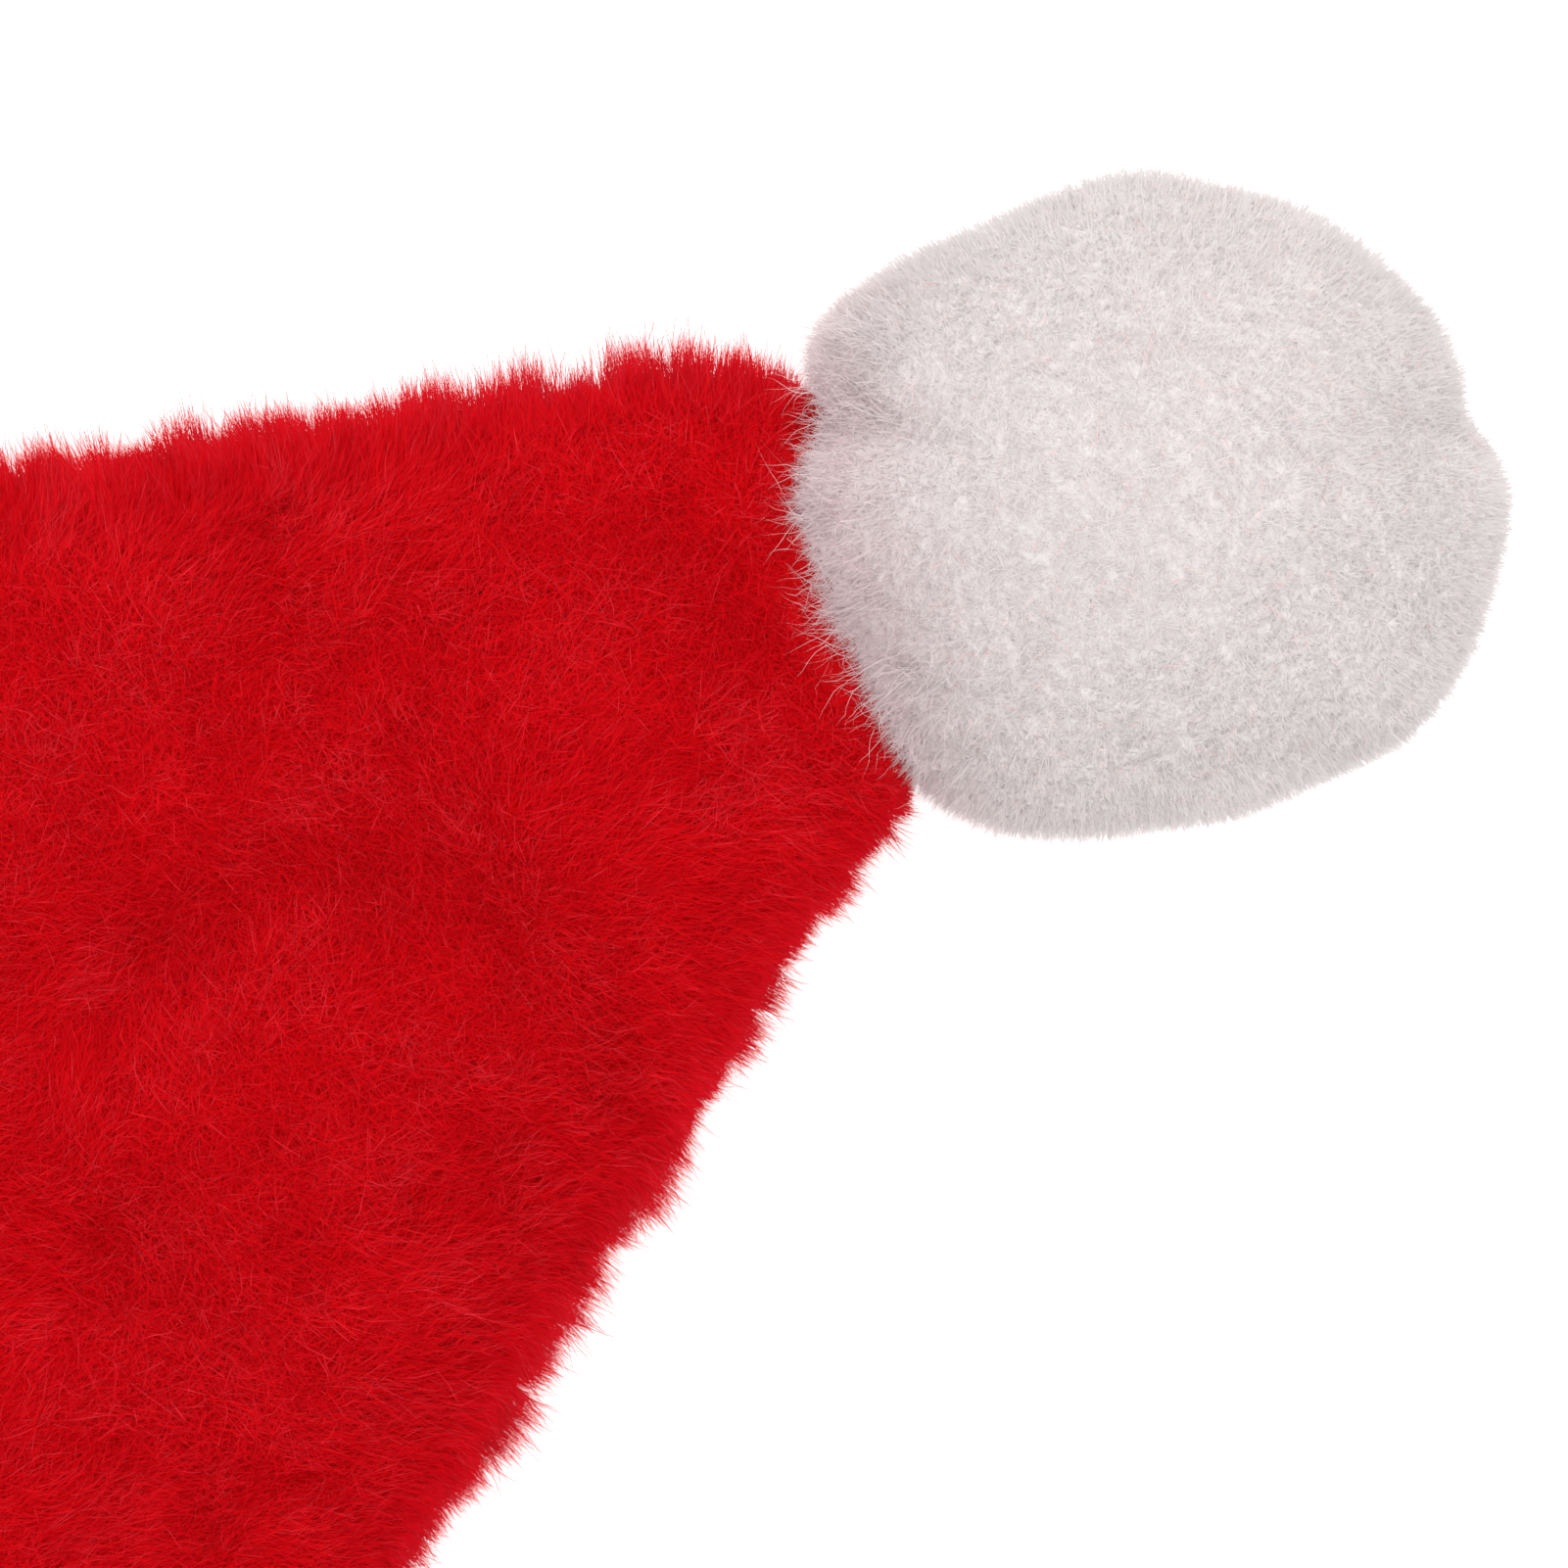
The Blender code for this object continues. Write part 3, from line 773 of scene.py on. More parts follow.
def make_mesh(name: str, verts: Array, loops: NDArray, sizes: NDArray, uv: Array) -> bpy.types.Object:
    """Makes an object at the origin from arrays.

    Args:
        name: the object's name.
        verts: vertex places in mm.
        loops: the vertex number of each face corner.
        sizes: how many corners each face has.
        uv: u and v of each corner.

    Returns:
        The object, linked to the scene.
    """
    mesh = bpy.data.meshes.new(name)
    mesh.vertices.add(len(verts))
    mesh.vertices.foreach_set("co", (verts * MM).astype(np.float32).ravel())
    mesh.loops.add(len(loops))
    mesh.loops.foreach_set("vertex_index", loops.astype(np.int32))
    mesh.polygons.add(len(sizes))
    starts = np.concatenate(([0], np.cumsum(sizes)[:-1]))
    mesh.polygons.foreach_set("loop_start", starts.astype(np.int32))
    mesh.uv_layers.new(name=UV_MAP).uv.foreach_set("vector", uv.astype(np.float32).ravel())
    mesh.update(calc_edges=True)
    return add_object(name, mesh)


def strands_to_mesh(name: str, strands: Strands) -> bpy.types.Object:
    """Makes an object from strands, with their shading normals and the two attributes that their material reads."""
    sizes = np.full(len(strands.faces), 3)
    made = make_mesh(name, strands.verts, strands.faces.ravel(), sizes, strands.uv())
    mesh = made.data
    for attribute, values in ((TIP_ATTRIBUTE, strands.tip), (SHADE_ATTRIBUTE, strands.shade)):
        mesh.attributes.new(attribute, "FLOAT", "POINT").data.foreach_set("value", values.astype(np.float32))
    normals = mesh.attributes.new("custom_normal", "FLOAT_VECTOR", "POINT")
    normals.data.foreach_set("vector", strands.normals.astype(np.float32).ravel())
    mesh.update()
    return made


class Nodes:
    """A node tree to which nodes are added and linked."""

    def __init__(self, tree: bpy.types.NodeTree) -> None:
        """Keeps the tree and empties it."""
        self.tree = tree
        tree.nodes.clear()

    def add(self, kind: str, inputs: dict[str | int, object] | None = None, **settings: object) -> bpy.types.Node:
        """Adds a node.

        Args:
            kind: the node's type, without ShaderNode for a shader node.
            inputs: what goes into its sockets: an output socket to link, or a value.
            settings: its properties.

        Returns:
            The node.
        """
        node = self.tree.nodes.new(kind if kind.startswith("Node") else f"ShaderNode{kind}")
        for name, value in settings.items():
            setattr(node, name, value)
        for name, value in (inputs or {}).items():
            if isinstance(value, bpy.types.NodeSocket):
                self.tree.links.new(value, node.inputs[name])
            else:
                node.inputs[name].default_value = value
        return node

    def sum(self, first: object, operation: str, second: object = 0.0, third: object = 0.0) -> bpy.types.NodeSocket:
        """A Math node's result of an operation on up to three values or sockets."""
        return self.add("Math", {0: first, 1: second, 2: third}, operation=operation).outputs[0]

    def blend(self, share: object, first: object, second: object, kind: str = "MIX") -> bpy.types.NodeSocket:
        """The colour that a share of the second makes of the first."""
        return self.add("Mix", {0: share, 6: first, 7: second}, data_type="RGBA", blend_type=kind).outputs[2]

    def noise(self, place: object, size: object, detail: float, roughness: float = 0.5) -> bpy.types.NodeSocket:
        """A noise over places in metres, whose patches are about a size in mm."""
        scale = self.sum(1.0 / MM, "DIVIDE", size)
        inputs = {"Vector": place, "Scale": scale, "Detail": detail, "Roughness": roughness}
        return self.add("TexNoise", inputs).outputs["Fac"]


def rgba(colour: Colour) -> tuple[float, float, float, float]:
    """A colour with full cover."""
    return (*colour, 1.0)


def new_material(name: str) -> tuple[bpy.types.Material, Nodes]:
    """A new material and its emptied nodes."""
    made = bpy.data.materials.new(name)
    made.use_nodes = True
    return made, Nodes(made.node_tree)


def group_tree(name: str, inputs: dict[str, float | Colour], outputs: tuple[tuple[str, str], ...]) -> Nodes:
    """Starts a node group.

    Args:
        name: the group's name.
        inputs: its inputs with their defaults, a number or a colour.
        outputs: its outputs' names and sorts, such as Color or Float.

    Returns:
        The group's nodes, emptied.
    """
    tree = bpy.data.node_groups.new(name, "ShaderNodeTree")
    for label, default in inputs.items():
        sort = "NodeSocketFloat" if isinstance(default, float) else "NodeSocketColor"
        socket = tree.interface.new_socket(label, in_out="INPUT", socket_type=sort)
        socket.default_value = default if isinstance(default, float) else rgba(default)
    for label, sort in outputs:
        tree.interface.new_socket(label, in_out="OUTPUT", socket_type=f"NodeSocket{sort}")
    return Nodes(tree)


def fibre_colour_group() -> bpy.types.NodeTree:
    """The colour of a fibre: from root to body, where a lighter root is painted light that evens out the shade deep in
    the pile, and towards the Tip colour at the tip on some fibres and in soft patches, which on the red pile is
    painted glints.
    """
    made = group_tree(
        "fibre colour",
        {"Root": (0.2, 0.2, 0.2), "Body": (0.5, 0.5, 0.5), "Tip": (0.8, 0.8, 0.8), "Patchiness": 0.2,
         "Patch Size": 12.0, "Unlikeness": 0.2},
        (("Color", "Color"), ("Roughness", "Float")),
    )
    given = made.add("NodeGroupInput")
    tip = made.add("Attribute", attribute_name=TIP_ATTRIBUTE).outputs["Fac"]
    shade = made.add("Attribute", attribute_name=SHADE_ATTRIBUTE).outputs["Fac"]
    place = made.add("TexCoord").outputs["Object"]
    patches = made.noise(place, given.outputs["Patch Size"], 3.0, 0.55)
    patchy = made.sum(made.sum(patches, "SUBTRACT", 0.5), "MULTIPLY", given.outputs["Patchiness"])
    # Where a finish's root is lighter than its body, this is painted light that evens out the shade deep in the pile
    body = made.add("MapRange", {"Value": tip, "From Min": 0.0, "From Max": 0.55}, interpolation_type="SMOOTHSTEP")
    # The share of the Tip colour, on the fibres with the highest shade and in soft patches: on the red pile painted
    # glints
    pale = made.add("MapRange", {"Value": shade, "From Min": 0.65, "From Max": 1.0}).outputs[0]
    pale = made.sum(pale, "MULTIPLY", made.sum(tip, "MULTIPLY_ADD", 0.7, 0.3))
    pale = made.sum(made.sum(patchy, "MULTIPLY_ADD", 0.7, pale), "MAXIMUM", 0.0)
    colour = made.blend(body.outputs[0], given.outputs["Root"], given.outputs["Body"])
    colour = made.blend(pale, colour, given.outputs["Tip"])
    unlike = made.sum(made.sum(shade, "SUBTRACT", 0.5), "MULTIPLY", given.outputs["Unlikeness"])
    light = made.sum(made.sum(patchy, "ADD", unlike), "ADD", 1.0)
    lit = made.add("VectorMath", {0: colour, "Scale": light}, operation="SCALE").outputs[0]
    rough = made.sum(shade, "MULTIPLY_ADD", 0.2, 0.62)
    made.add("NodeGroupOutput", {"Color": lit, "Roughness": rough})
    return made.tree


def nap_bump_group() -> bpy.types.NodeTree:
    """The height of brushed nap, as on cloth under its pile: fine noise drawn out along the hat, on larger tufts."""
    made = group_tree("nap height", {"Strand Size": 1.2, "Tuft Size": 6.0}, (("Height", "Float"), ("Shade", "Float")))
    given = made.add("NodeGroupInput")
    place = made.add("TexCoord").outputs["Object"]
    drawn = made.add("Mapping", {"Vector": place, "Scale": (1.0, 0.3, 1.0)}).outputs[0]
    fine = made.noise(drawn, given.outputs["Strand Size"], 2.0)
    tuft = made.noise(place, given.outputs["Tuft Size"], 3.0)
    height = made.sum(fine, "MULTIPLY_ADD", 0.45, tuft)
    # Shade follows the height, so the cloth is darker in its hollows: painted shade
    made.add("NodeGroupOutput", {"Height": height, "Shade": made.sum(height, "MULTIPLY", 0.69)})
    return made.tree


def knit_group() -> bpy.types.NodeTree:
    """The back of plush cloth: fine knitted wales that run along the map's v, each a row of slanted loops."""
    made = group_tree("knit height", {"Wales": 300.0, "Courses": 300.0}, (("Height", "Float"), ("Shade", "Float")))
    given = made.add("NodeGroupInput")
    around = made.add("SeparateXYZ", {0: made.add("UVMap", uv_map=UV_MAP).outputs[0]})
    wale = made.sum(around.outputs[0], "MULTIPLY", given.outputs["Wales"])
    course = made.sum(around.outputs[1], "MULTIPLY", given.outputs["Courses"])
    off_middle = made.sum(made.sum(made.sum(wale, "FRACT"), "SUBTRACT", 0.5), "ABSOLUTE")
    slant = made.sum(off_middle, "MULTIPLY_ADD", 0.8, course)
    loop = made.sum(made.sum(slant, "MULTIPLY", 2.0 * math.pi), "SINE")
    ridge = made.sum(off_middle, "MULTIPLY_ADD", -1.6, 1.0)
    height = made.sum(loop, "MULTIPLY_ADD", 0.25, ridge)
    # Shade follows the height, so the knit is darker in its hollows: painted shade
    made.add("NodeGroupOutput", {"Height": height, "Shade": made.sum(height, "MULTIPLY_ADD", 0.25, 0.8)})
    return made.tree


@dataclass(frozen=True)
class FibreFinish:
    """The finish of a pile.

    Attributes:
        name: the material's name.
        root: its colour at the roots; on the piles lighter than the body, painted light that evens out the shade deep
            in the pile.
        body: its colour half way up.
        tip: the colour that some fibres' tips and soft patches turn to: on the red pile paler and pinker, painted
            glints; on the white piles a little darker than the body.
        patchiness: how much lighter and darker its patches are.
        patch_size: how large they are, in mm.
        unlikeness: how much its fibres differ.
        sheen: how strong the soft gloss of its edge is.
        sheen_tint: the colour of that.
        glow: the share of light that passes through its fibres.
        blush: the pink that it takes on near the crown's nose, painted red bounce light from the crown, or None.
        blush_reach: how far, in mm, from the nose the painted bounce light starts and ends.
    """

    name: str
    root: Colour
    body: Colour
    tip: Colour
    patchiness: float
    patch_size: float
    unlikeness: float
    sheen: float
    sheen_tint: Colour
    glow: float = 0.1
    blush: Colour | None = None
    blush_reach: tuple[float, float] = (0.0, 1.0)

    def material(self, colours: bpy.types.NodeTree) -> bpy.types.Material:
        """Makes the material.

        The ribbons have no thickness, so where one is seen from behind its normal is turned back to the outside.

        Args:
            colours: the group that gives a fibre's colour.

        Returns:
            The material.
        """
        made, nodes = new_material(self.name)
        look = nodes.add("Group", node_tree=colours)
        for label, value in (("Root", rgba(self.root)), ("Body", rgba(self.body)), ("Tip", rgba(self.tip)),
                             ("Patchiness", self.patchiness), ("Patch Size", self.patch_size),
                             ("Unlikeness", self.unlikeness)):
            look.inputs[label].default_value = value
        colour = look.outputs["Color"]
        # Painted red bounce light: near the crown's nose the pile turns pink, as if lit by light from the red crown
        if self.blush is not None:
            place = nodes.add("TexCoord").outputs["Object"]
            nose = tuple(MM * value for value in NOSE)
            away = nodes.add("VectorMath", {0: place, 1: nose}, operation="DISTANCE").outputs["Value"]
            low, high = (MM * value for value in self.blush_reach)
            near = nodes.add("MapRange", {"Value": away, "From Min": low, "From Max": high, "To Min": 1.0,
                                          "To Max": 0.0}, interpolation_type="SMOOTHERSTEP").outputs[0]
            colour = nodes.blend(near, colour, nodes.blend(1.0, colour, rgba(self.blush), "MULTIPLY"))
        geometry = nodes.add("NewGeometry")
        sign = nodes.sum(geometry.outputs["Backfacing"], "MULTIPLY_ADD", -2.0, 1.0)
        normal = nodes.add("VectorMath", {0: geometry.outputs["Normal"], "Scale": sign}, operation="SCALE")
        shader = nodes.add("BsdfPrincipled", {
            "Base Color": colour, "Roughness": look.outputs["Roughness"], "Normal": normal.outputs[0],
            "Specular IOR Level": 0.06, "Sheen Weight": self.sheen, "Sheen Roughness": 0.5,
            "Sheen Tint": rgba(self.sheen_tint),
        })
        through = nodes.add("BsdfTranslucent", {"Color": colour})
        mixed = nodes.add("MixShader", {0: self.glow, 1: shader.outputs[0], 2: through.outputs[0]})
        nodes.add("OutputMaterial", {"Surface": mixed.outputs[0]})
        return made


@dataclass(frozen=True)
class ClothFinish:
    """The finish of a cloth's face, brushed or knitted.

    Attributes:
        name: the material's name.
        dark: its colour in the hollows of the relief, darker as painted shade.
        light: its colour on the heights of the relief, lighter as painted light.
        relief: the height of the relief, in mm.
        sizes: the values of the relief group's inputs.
    """

    name: str
    dark: Colour
    light: Colour
    relief: float
    sizes: tuple[tuple[str, float], ...]

    def material(self, relief: bpy.types.NodeTree) -> bpy.types.Material:
        """Makes the material from the group that gives the relief's height and shade."""
        made, nodes = new_material(self.name)
        look = nodes.add("Group", node_tree=relief)
        for label, value in self.sizes:
            look.inputs[label].default_value = value
        shade = look.outputs["Shade"]
        # Painted shade: the colour goes from the dark one in the relief's hollows to the light one on its heights
        colour = nodes.blend(shade, rgba(self.dark), rgba(self.light))
        rough = nodes.sum(shade, "MULTIPLY_ADD", -0.15, 0.95)
        bump = nodes.add("Bump", {"Height": look.outputs["Height"], "Distance": self.relief * MM, "Strength": 0.8})
        shader = nodes.add("BsdfPrincipled", {
            "Base Color": colour, "Roughness": rough, "Normal": bump.outputs[0], "Specular IOR Level": 0.2,
            "Sheen Weight": 0.04, "Sheen Roughness": 0.5,
        })
        nodes.add("OutputMaterial", {"Surface": shader.outputs[0]})
        return made


@dataclass(frozen=True)
class Wardrobe:
    """Every finish of the hat, made once: the piles, the grounds under them, the cloths' backs and the lint."""

    red_pile: bpy.types.Material
    white_pile: bpy.types.Material
    pompom_pile: bpy.types.Material
    pompom_ground: bpy.types.Material
    red_ground: bpy.types.Material
    white_ground: bpy.types.Material
    red_back: bpy.types.Material
    white_back: bpy.types.Material
    lint: bpy.types.Material

    @classmethod
    def open(cls) -> "Wardrobe":
        """Builds the shared groups and from them the materials."""
        colours, nap, knit = fibre_colour_group(), nap_bump_group(), knit_group()
        # The piles' roots are lighter than their bodies, painted light that evens out the shade deep in the pile; the
        # red pile's pale pink tip colour is painted glints
        red = FibreFinish(
            "red_pile", root=(0.88, 0.0002, 0.004), body=(0.77, 0.0002, 0.006), tip=(0.88, 0.050, 0.075),
            patchiness=0.3, patch_size=14.0, unlikeness=0.08, sheen=0.4, sheen_tint=(1.0, 0.22, 0.40), glow=0.35,
        )
        white = FibreFinish(
            "white_pile", root=(0.88, 0.84, 0.83), body=(0.84, 0.80, 0.79), tip=(0.83, 0.79, 0.78),
            patchiness=0.05, patch_size=16.0, unlikeness=0.05, sheen=0.05, sheen_tint=(1.0, 0.98, 0.97), glow=0.4,
        )
        pompom = FibreFinish(
            "pompom_pile", root=(0.89, 0.84, 0.84), body=(0.84, 0.78, 0.78), tip=(0.81, 0.755, 0.755),
            patchiness=0.03, patch_size=18.0, unlikeness=0.02, sheen=0.0, sheen_tint=(1.0, 0.97, 0.97), glow=0.4,
            blush=(1.0, 0.90, 0.915), blush_reach=(18.0, 46.0),
        )
        lint = FibreFinish(
            "lint", root=(0.68, 0.40, 0.40), body=(0.70, 0.46, 0.46), tip=(0.56, 0.50, 0.51),
            patchiness=0.2, patch_size=20.0, unlikeness=0.5, sheen=0.0, sheen_tint=(1.0, 1.0, 1.0),
        )
        nap_sizes = (("Strand Size", 1.2), ("Tuft Size", 7.0))
        knit_sizes = (("Wales", 340.0), ("Courses", 260.0))
        # The grounds under the piles are darker than the fibres on them, painted shade for the gaps between the fibres
        pompom_ground = ClothFinish("pompom_ground", (0.68, 0.63, 0.63), (0.78, 0.73, 0.73), 0.2, nap_sizes)
        return cls(
            red.material(colours), white.material(colours), pompom.material(colours), pompom_ground.material(nap),
            ClothFinish("red_ground", (0.50, 0.0005, 0.003), (0.74, 0.002, 0.006), 1.0, nap_sizes).material(nap),
            ClothFinish("white_ground", (0.76, 0.71, 0.70), (0.86, 0.81, 0.80), 0.5, nap_sizes).material(nap),
            ClothFinish("red_back", (0.30, 0.006, 0.012), (0.52, 0.02, 0.03), 0.3, knit_sizes).material(knit),
            ClothFinish("white_back", (0.60, 0.58, 0.56), (0.84, 0.82, 0.80), 0.3, knit_sizes).material(knit),
            lint.material(colours),
        )


def dress(piece: bpy.types.Object, node: str, slot: str, *materials: bpy.types.Material) -> bpy.types.Object:
    """Gives a piece its materials, its record slot and the node that it replaces, and lets it ride on the body."""
    for material in materials:
        piece.data.materials.append(material)
    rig.ride(piece, BODY)
    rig.slot(piece, slot)
    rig.replaces(piece, node)
    return piece


@dataclass(frozen=True)
class CrownCloth:
    """The crown's cloth as a surface: how far from the tip, and how far round the section.

    Attributes:
        nose_tip: where the closed end starts.
        nose_back: where the table of sections takes over.
        widest: the height of a section's widest point, as a share of its height.
        flat_bottom: the power that flattens its underside.
        flat_from: from where on it is that flat.
        fold_fade: the two rises between which the folds set in.
    """

    nose_tip: float = 30.0
    nose_back: float = 60.0
    widest: float = 0.42
    flat_bottom: float = 0.55
    flat_from: float = 120.0
    fold_fade: tuple[float, float] = (0.15, 0.6)
    sections: tuple[Section, ...] = (
        Section(60.0, 27.0, 26.5, 18.0, 54.0),
        Section(80.0, 35.5, 33.0, 12.0, 51.0),
        Section(100.0, 44.5, 43.5, 8.0, 51.0),
        Section(125.0, 55.5, 54.0, 5.0, 50.0),
        Section(150.0, 67.0, 67.0, 2.5, 52.0),
        Section(200.0, 86.0, 87.0, 2.5, 61.0),
        Section(250.0, 103.0, 103.0, 2.5, 74.0),
        Section(290.0, 114.0, 114.0, 5.5, 86.0),
        Section(304.0, 117.0, 117.0, 7.0, 89.0),
        Section(379.0, 122.0, 122.0, 7.0, 93.0),
    )
    folds: tuple[Fold, ...] = (
        Fold(66.0, 0.0, 8.0, 15.0, 10.0, 6.5),
        Fold(83.0, 13.0, 7.0, 7.0, 0.0, 1.5),
        Fold(101.0, 7.0, 7.0, 20.0, 0.0, -3.0),
        Fold(121.0, 10.0, 12.0, 6.5, -50.0, 3.5),
        Fold(125.0, -40.0, 18.0, 10.0, 0.0, -3.5),
        Fold(144.0, 14.0, 10.0, 8.0, 0.0, -2.5),
        Fold(151.0, -2.0, 22.0, 8.0, 0.0, 6.0),
        Fold(160.0, 25.0, 9.0, 9.0, 0.0, -3.0),
        Fold(176.0, 27.0, 8.0, 10.0, 0.0, 4.0),
        Fold(184.0, 60.0, 15.0, 11.0, 15.0, 4.5),
        Fold(190.0, -44.0, 26.0, 10.0, -12.0, 3.0),
        Fold(228.0, -10.0, 36.0, 22.0, 8.0, 10.0),
        Fold(270.0, 52.0, 26.0, 10.0, 20.0, 4.0),
        Fold(282.0, -62.0, 22.0, 9.0, -16.0, 4.0),
        Fold(330.0, -6.0, 52.0, 48.0, 0.0, 5.0),
    )

    def sizes(self, from_tip: Array) -> Array:
        """Left, right, bottom and top of the section at each place.

        A cubic with the slopes of the table's rows runs through the rows. Before nose_back the sizes shrink about
        the middle height with the root of the distance from the closed end, as on a paraboloid.

        Args:
            from_tip: the places.

        Returns:
            The four sizes in mm, one row a place.
        """
        rows = np.array([(s.from_tip, s.left, s.right, s.bottom, s.top) for s in self.sections])
        places, table = rows[:, 0], rows[:, 1:]
        slopes = np.gradient(table, places, axis=0)
        here = np.maximum(from_tip, self.nose_back)
        row = np.clip(np.searchsorted(places, here, side="right") - 1, 0, len(places) - 2)
        step = (places[row + 1] - places[row])[:, None]
        u = (here - places[row])[:, None] / step
        sizes = (
            (2.0 * u**3 - 3.0 * u**2 + 1.0) * table[row] + (u**3 - 2.0 * u**2 + u) * step * slopes[row]
            + (3.0 * u**2 - 2.0 * u**3) * table[row + 1] + (u**3 - u**2) * step * slopes[row + 1]
        )
        length = self.nose_back - self.nose_tip
        shrink = np.sqrt(np.clip((from_tip - self.nose_tip) / length, 0.0, 1.0))[:, None]
        middle = sizes[:, 2:].mean(axis=1, keepdims=True)
        return np.hstack((sizes[:, :2] * shrink, middle + (sizes[:, 2:] - middle) * shrink))

    def fold_depth(self, from_tip: Array, across: Array) -> Array:
        """How far the folds sink the upper side: the sum of their bells, exp(-(u^2 + v^2) / 2) times the depth."""
        depth = np.zeros(np.broadcast_shapes(from_tip.shape, across.shape))
        for fold in self.folds:
            turn = math.radians(fold.turn)
            along, aside = from_tip - fold.from_tip, across - fold.across
            u = (along * math.cos(turn) + aside * math.sin(turn)) / fold.length
            v = (aside * math.cos(turn) - along * math.sin(turn)) / fold.width
            depth += fold.depth * np.exp(-0.5 * (u * u + v * v))
        return depth

    def places(self, from_tip: Array, columns: int, offset: Array | float = 0.0) -> Array:
        """The surface on a grid.

        At a turn t from the bottom, a point lies the section's reach times cos t across, and its height goes from
        the widest point by sin t, to a power on the underside, less the folds above. Then it moves out along the
        section's own normal by the offset.

        Args:
            from_tip: the rows' places.
            columns: how many points a row has, evenly turned.
            offset: how far out the surface lies, in mm, one number or one a row.

        Returns:
            The points in mm, as rows by columns by 3.
        """
        left, right, bottom, top = (size[:, None] for size in self.sizes(from_tip).T)
        from_tip = from_tip[:, None]
        turn = np.linspace(0.0, 2.0 * math.pi, columns, endpoint=False)[None, :] - math.pi / 2.0
        side, rise = np.cos(turn), np.sin(turn)
        across = np.where(side < 0.0, left, right) * side
        settled = smooth_step(self.nose_back, self.flat_from, from_tip)
        middle = bottom + (0.5 + (self.widest - 0.5) * settled) * (top - bottom)
        below = middle - (middle - bottom) * np.abs(rise) ** (1.0 + (self.flat_bottom - 1.0) * settled)
        above = middle + (top - middle) * np.abs(rise)
        above = above - self.fold_depth(from_tip, across) * smooth_step(*self.fold_fade, rise)
        height = np.where(rise < 0.0, below, above)
        tangent_x = np.roll(across, -1, axis=1) - np.roll(across, 1, axis=1)
        tangent_z = np.roll(height, -1, axis=1) - np.roll(height, 1, axis=1)
        length = np.maximum(np.hypot(tangent_x, tangent_z), 1e-6)
        out = np.broadcast_to(np.asarray(offset, dtype=float).reshape(-1, 1), (len(from_tip), 1))
        return np.stack((
            across + out * tangent_z / length,
            np.broadcast_to(TIP_Y - from_tip, across.shape),
            height - out * tangent_x / length,
        ), axis=2)


